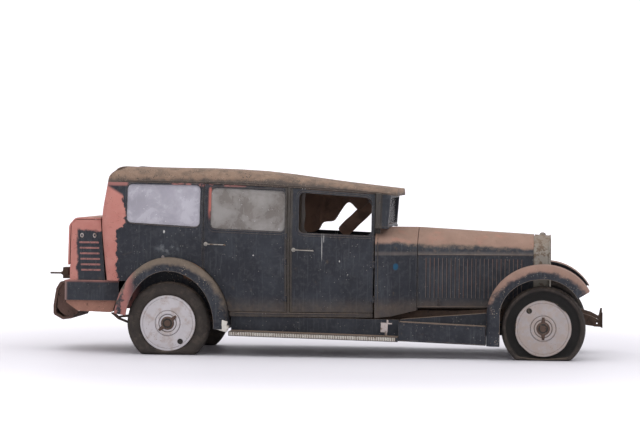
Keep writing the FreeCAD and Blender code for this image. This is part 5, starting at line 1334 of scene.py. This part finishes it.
def make_controls():
    """Dials, gear and brake levers, pedals, and the steering wheel's boss."""
    parts = []
    for y, radius in ((0.33, 0.045), (0.20, 0.030), (0.06, 0.045), (-0.07, 0.030)):
        parts.append(turned([(0.0, 0.0), (0.0, radius), (-0.008, radius + 0.003), (-0.010, radius - 0.003),
                             (-0.004, radius - 0.006), (-0.004, 0.0)], (0.608, y, 1.055), 32, (1, 0, 0)))
    join(parts)
    settle("dashboard_dials", "chassis", PLATING)
    levers = [rod([(0.44, 0.02, 0.475), (0.43, 0.02, 0.60), (0.38, 0.03, 0.78)], 0.007),
              rod([(0.36, -0.08, 0.475), (0.38, -0.08, 0.62), (0.30, -0.08, 0.80)], 0.008),
              turned([(-0.02, 0.0), (-0.016, 0.013), (0.0, 0.020), (0.016, 0.013), (0.02, 0.0)],
                     (0.379, 0.03, 0.79), 20)]
    for y in (0.26, 0.37):
        levers.append(rod([(0.80, y, 0.50), (0.74, y, 0.56), (0.70, y, 0.60)], 0.006))
        levers.append(block((0.012, 0.05, 0.065), (0.694, y, 0.612), (0, -0.7, 0), 0.003))
    join(levers)
    settle("levers_and_pedals", "chassis", CHASSIS)
    lean = math.radians(38)
    boss = turned([(-0.022, 0.0), (-0.020, 0.026), (0.004, 0.030), (0.012, 0.020), (0.014, 0.0)], (0, 0, 0),
                  24)
    turn = Matrix.Rotation(-(math.pi / 2 - lean), 4, "Y") @ Matrix.Rotation(math.pi / 2, 4, "X")
    boss.data.transform(Matrix.Translation((0.419, 0.330, 1.032)) @ turn)
    settle("steering_boss", "steering_wheel", HORN)


make_seats()
make_lining()
make_controls()


# ------------------------------------------------------------------------------------ under the car
def make_chassis_details():
    """Clips round the springs, and the brake cables."""
    for side_name, side in SIDES.items():
        parts = []
        for middle_x, reach, z in ((FRONT_AXLE_X - 0.036, 0.434, 0.312), (REAR_AXLE_X - 0.05, 0.52, 0.345)):
            for clip in (-0.45, -0.22, 0.22, 0.45):
                x = middle_x + clip * reach * 2 * 0.75
                parts.append(block((0.030, 0.062, 0.046), (x, side * 0.375, z + 0.018), bevel=0.003))
        join(parts)
        settle(f"{side_name}_spring_clips", "chassis", CHASSIS)
        rod([(0.30, side * 0.30, 0.36), (-0.6, side * 0.31, 0.335), (-1.36, side * 0.50, 0.31),
             (-1.42, side * 0.56, 0.33)], 0.006)
        settle(f"{side_name}_brake_cable", "chassis", CHASSIS)


make_chassis_details()

# --------------------------------------------------------------------------------- camera and floor
set_camera()
set_lights()
chain([(0.01, 0, 0), (4, 0, 0), (12, 0, 0), (46, 0, 0), (47.2, 0, 0.12), (48.4, 0, 0.5), (49.4, 0, 1.3),
       (50, 0, 2.4), (50.3, 0, 3.8), (50.3, 0, 18)])
take_all()
bpy.ops.mesh.spin(steps=96, angle=2 * math.pi, center=(0, 0, 0), axis=(0, 0, 1))
take_all()
bpy.ops.mesh.remove_doubles(threshold=0.0005)
bpy.ops.mesh.normals_make_consistent(inside=True)
out_of_edit()
floor = bpy.context.object
floor.name = "studio_floor"
bpy.ops.object.shade_smooth()
paper = Finish("pale_studio_floor", 0, 0.6)
paper.colour = tint(paper.tree, paper.cloud(0.25, 3.0), rgb(0.62, 0.605, 0.655), rgb(0.69, 0.675, 0.715))
reach = add(paper.tree, "VectorMath", {0: paper.place}, operation="LENGTH").outputs["Value"]
paper.shader.inputs["Emission Color"].default_value = rgb(1.0, 0.995, 1.0)
paper.tree.links.new(step(paper.tree, reach, 3.0, 8.0, 0.5), paper.shader.inputs["Emission Strength"])
floor.data.materials.append(paper.done())
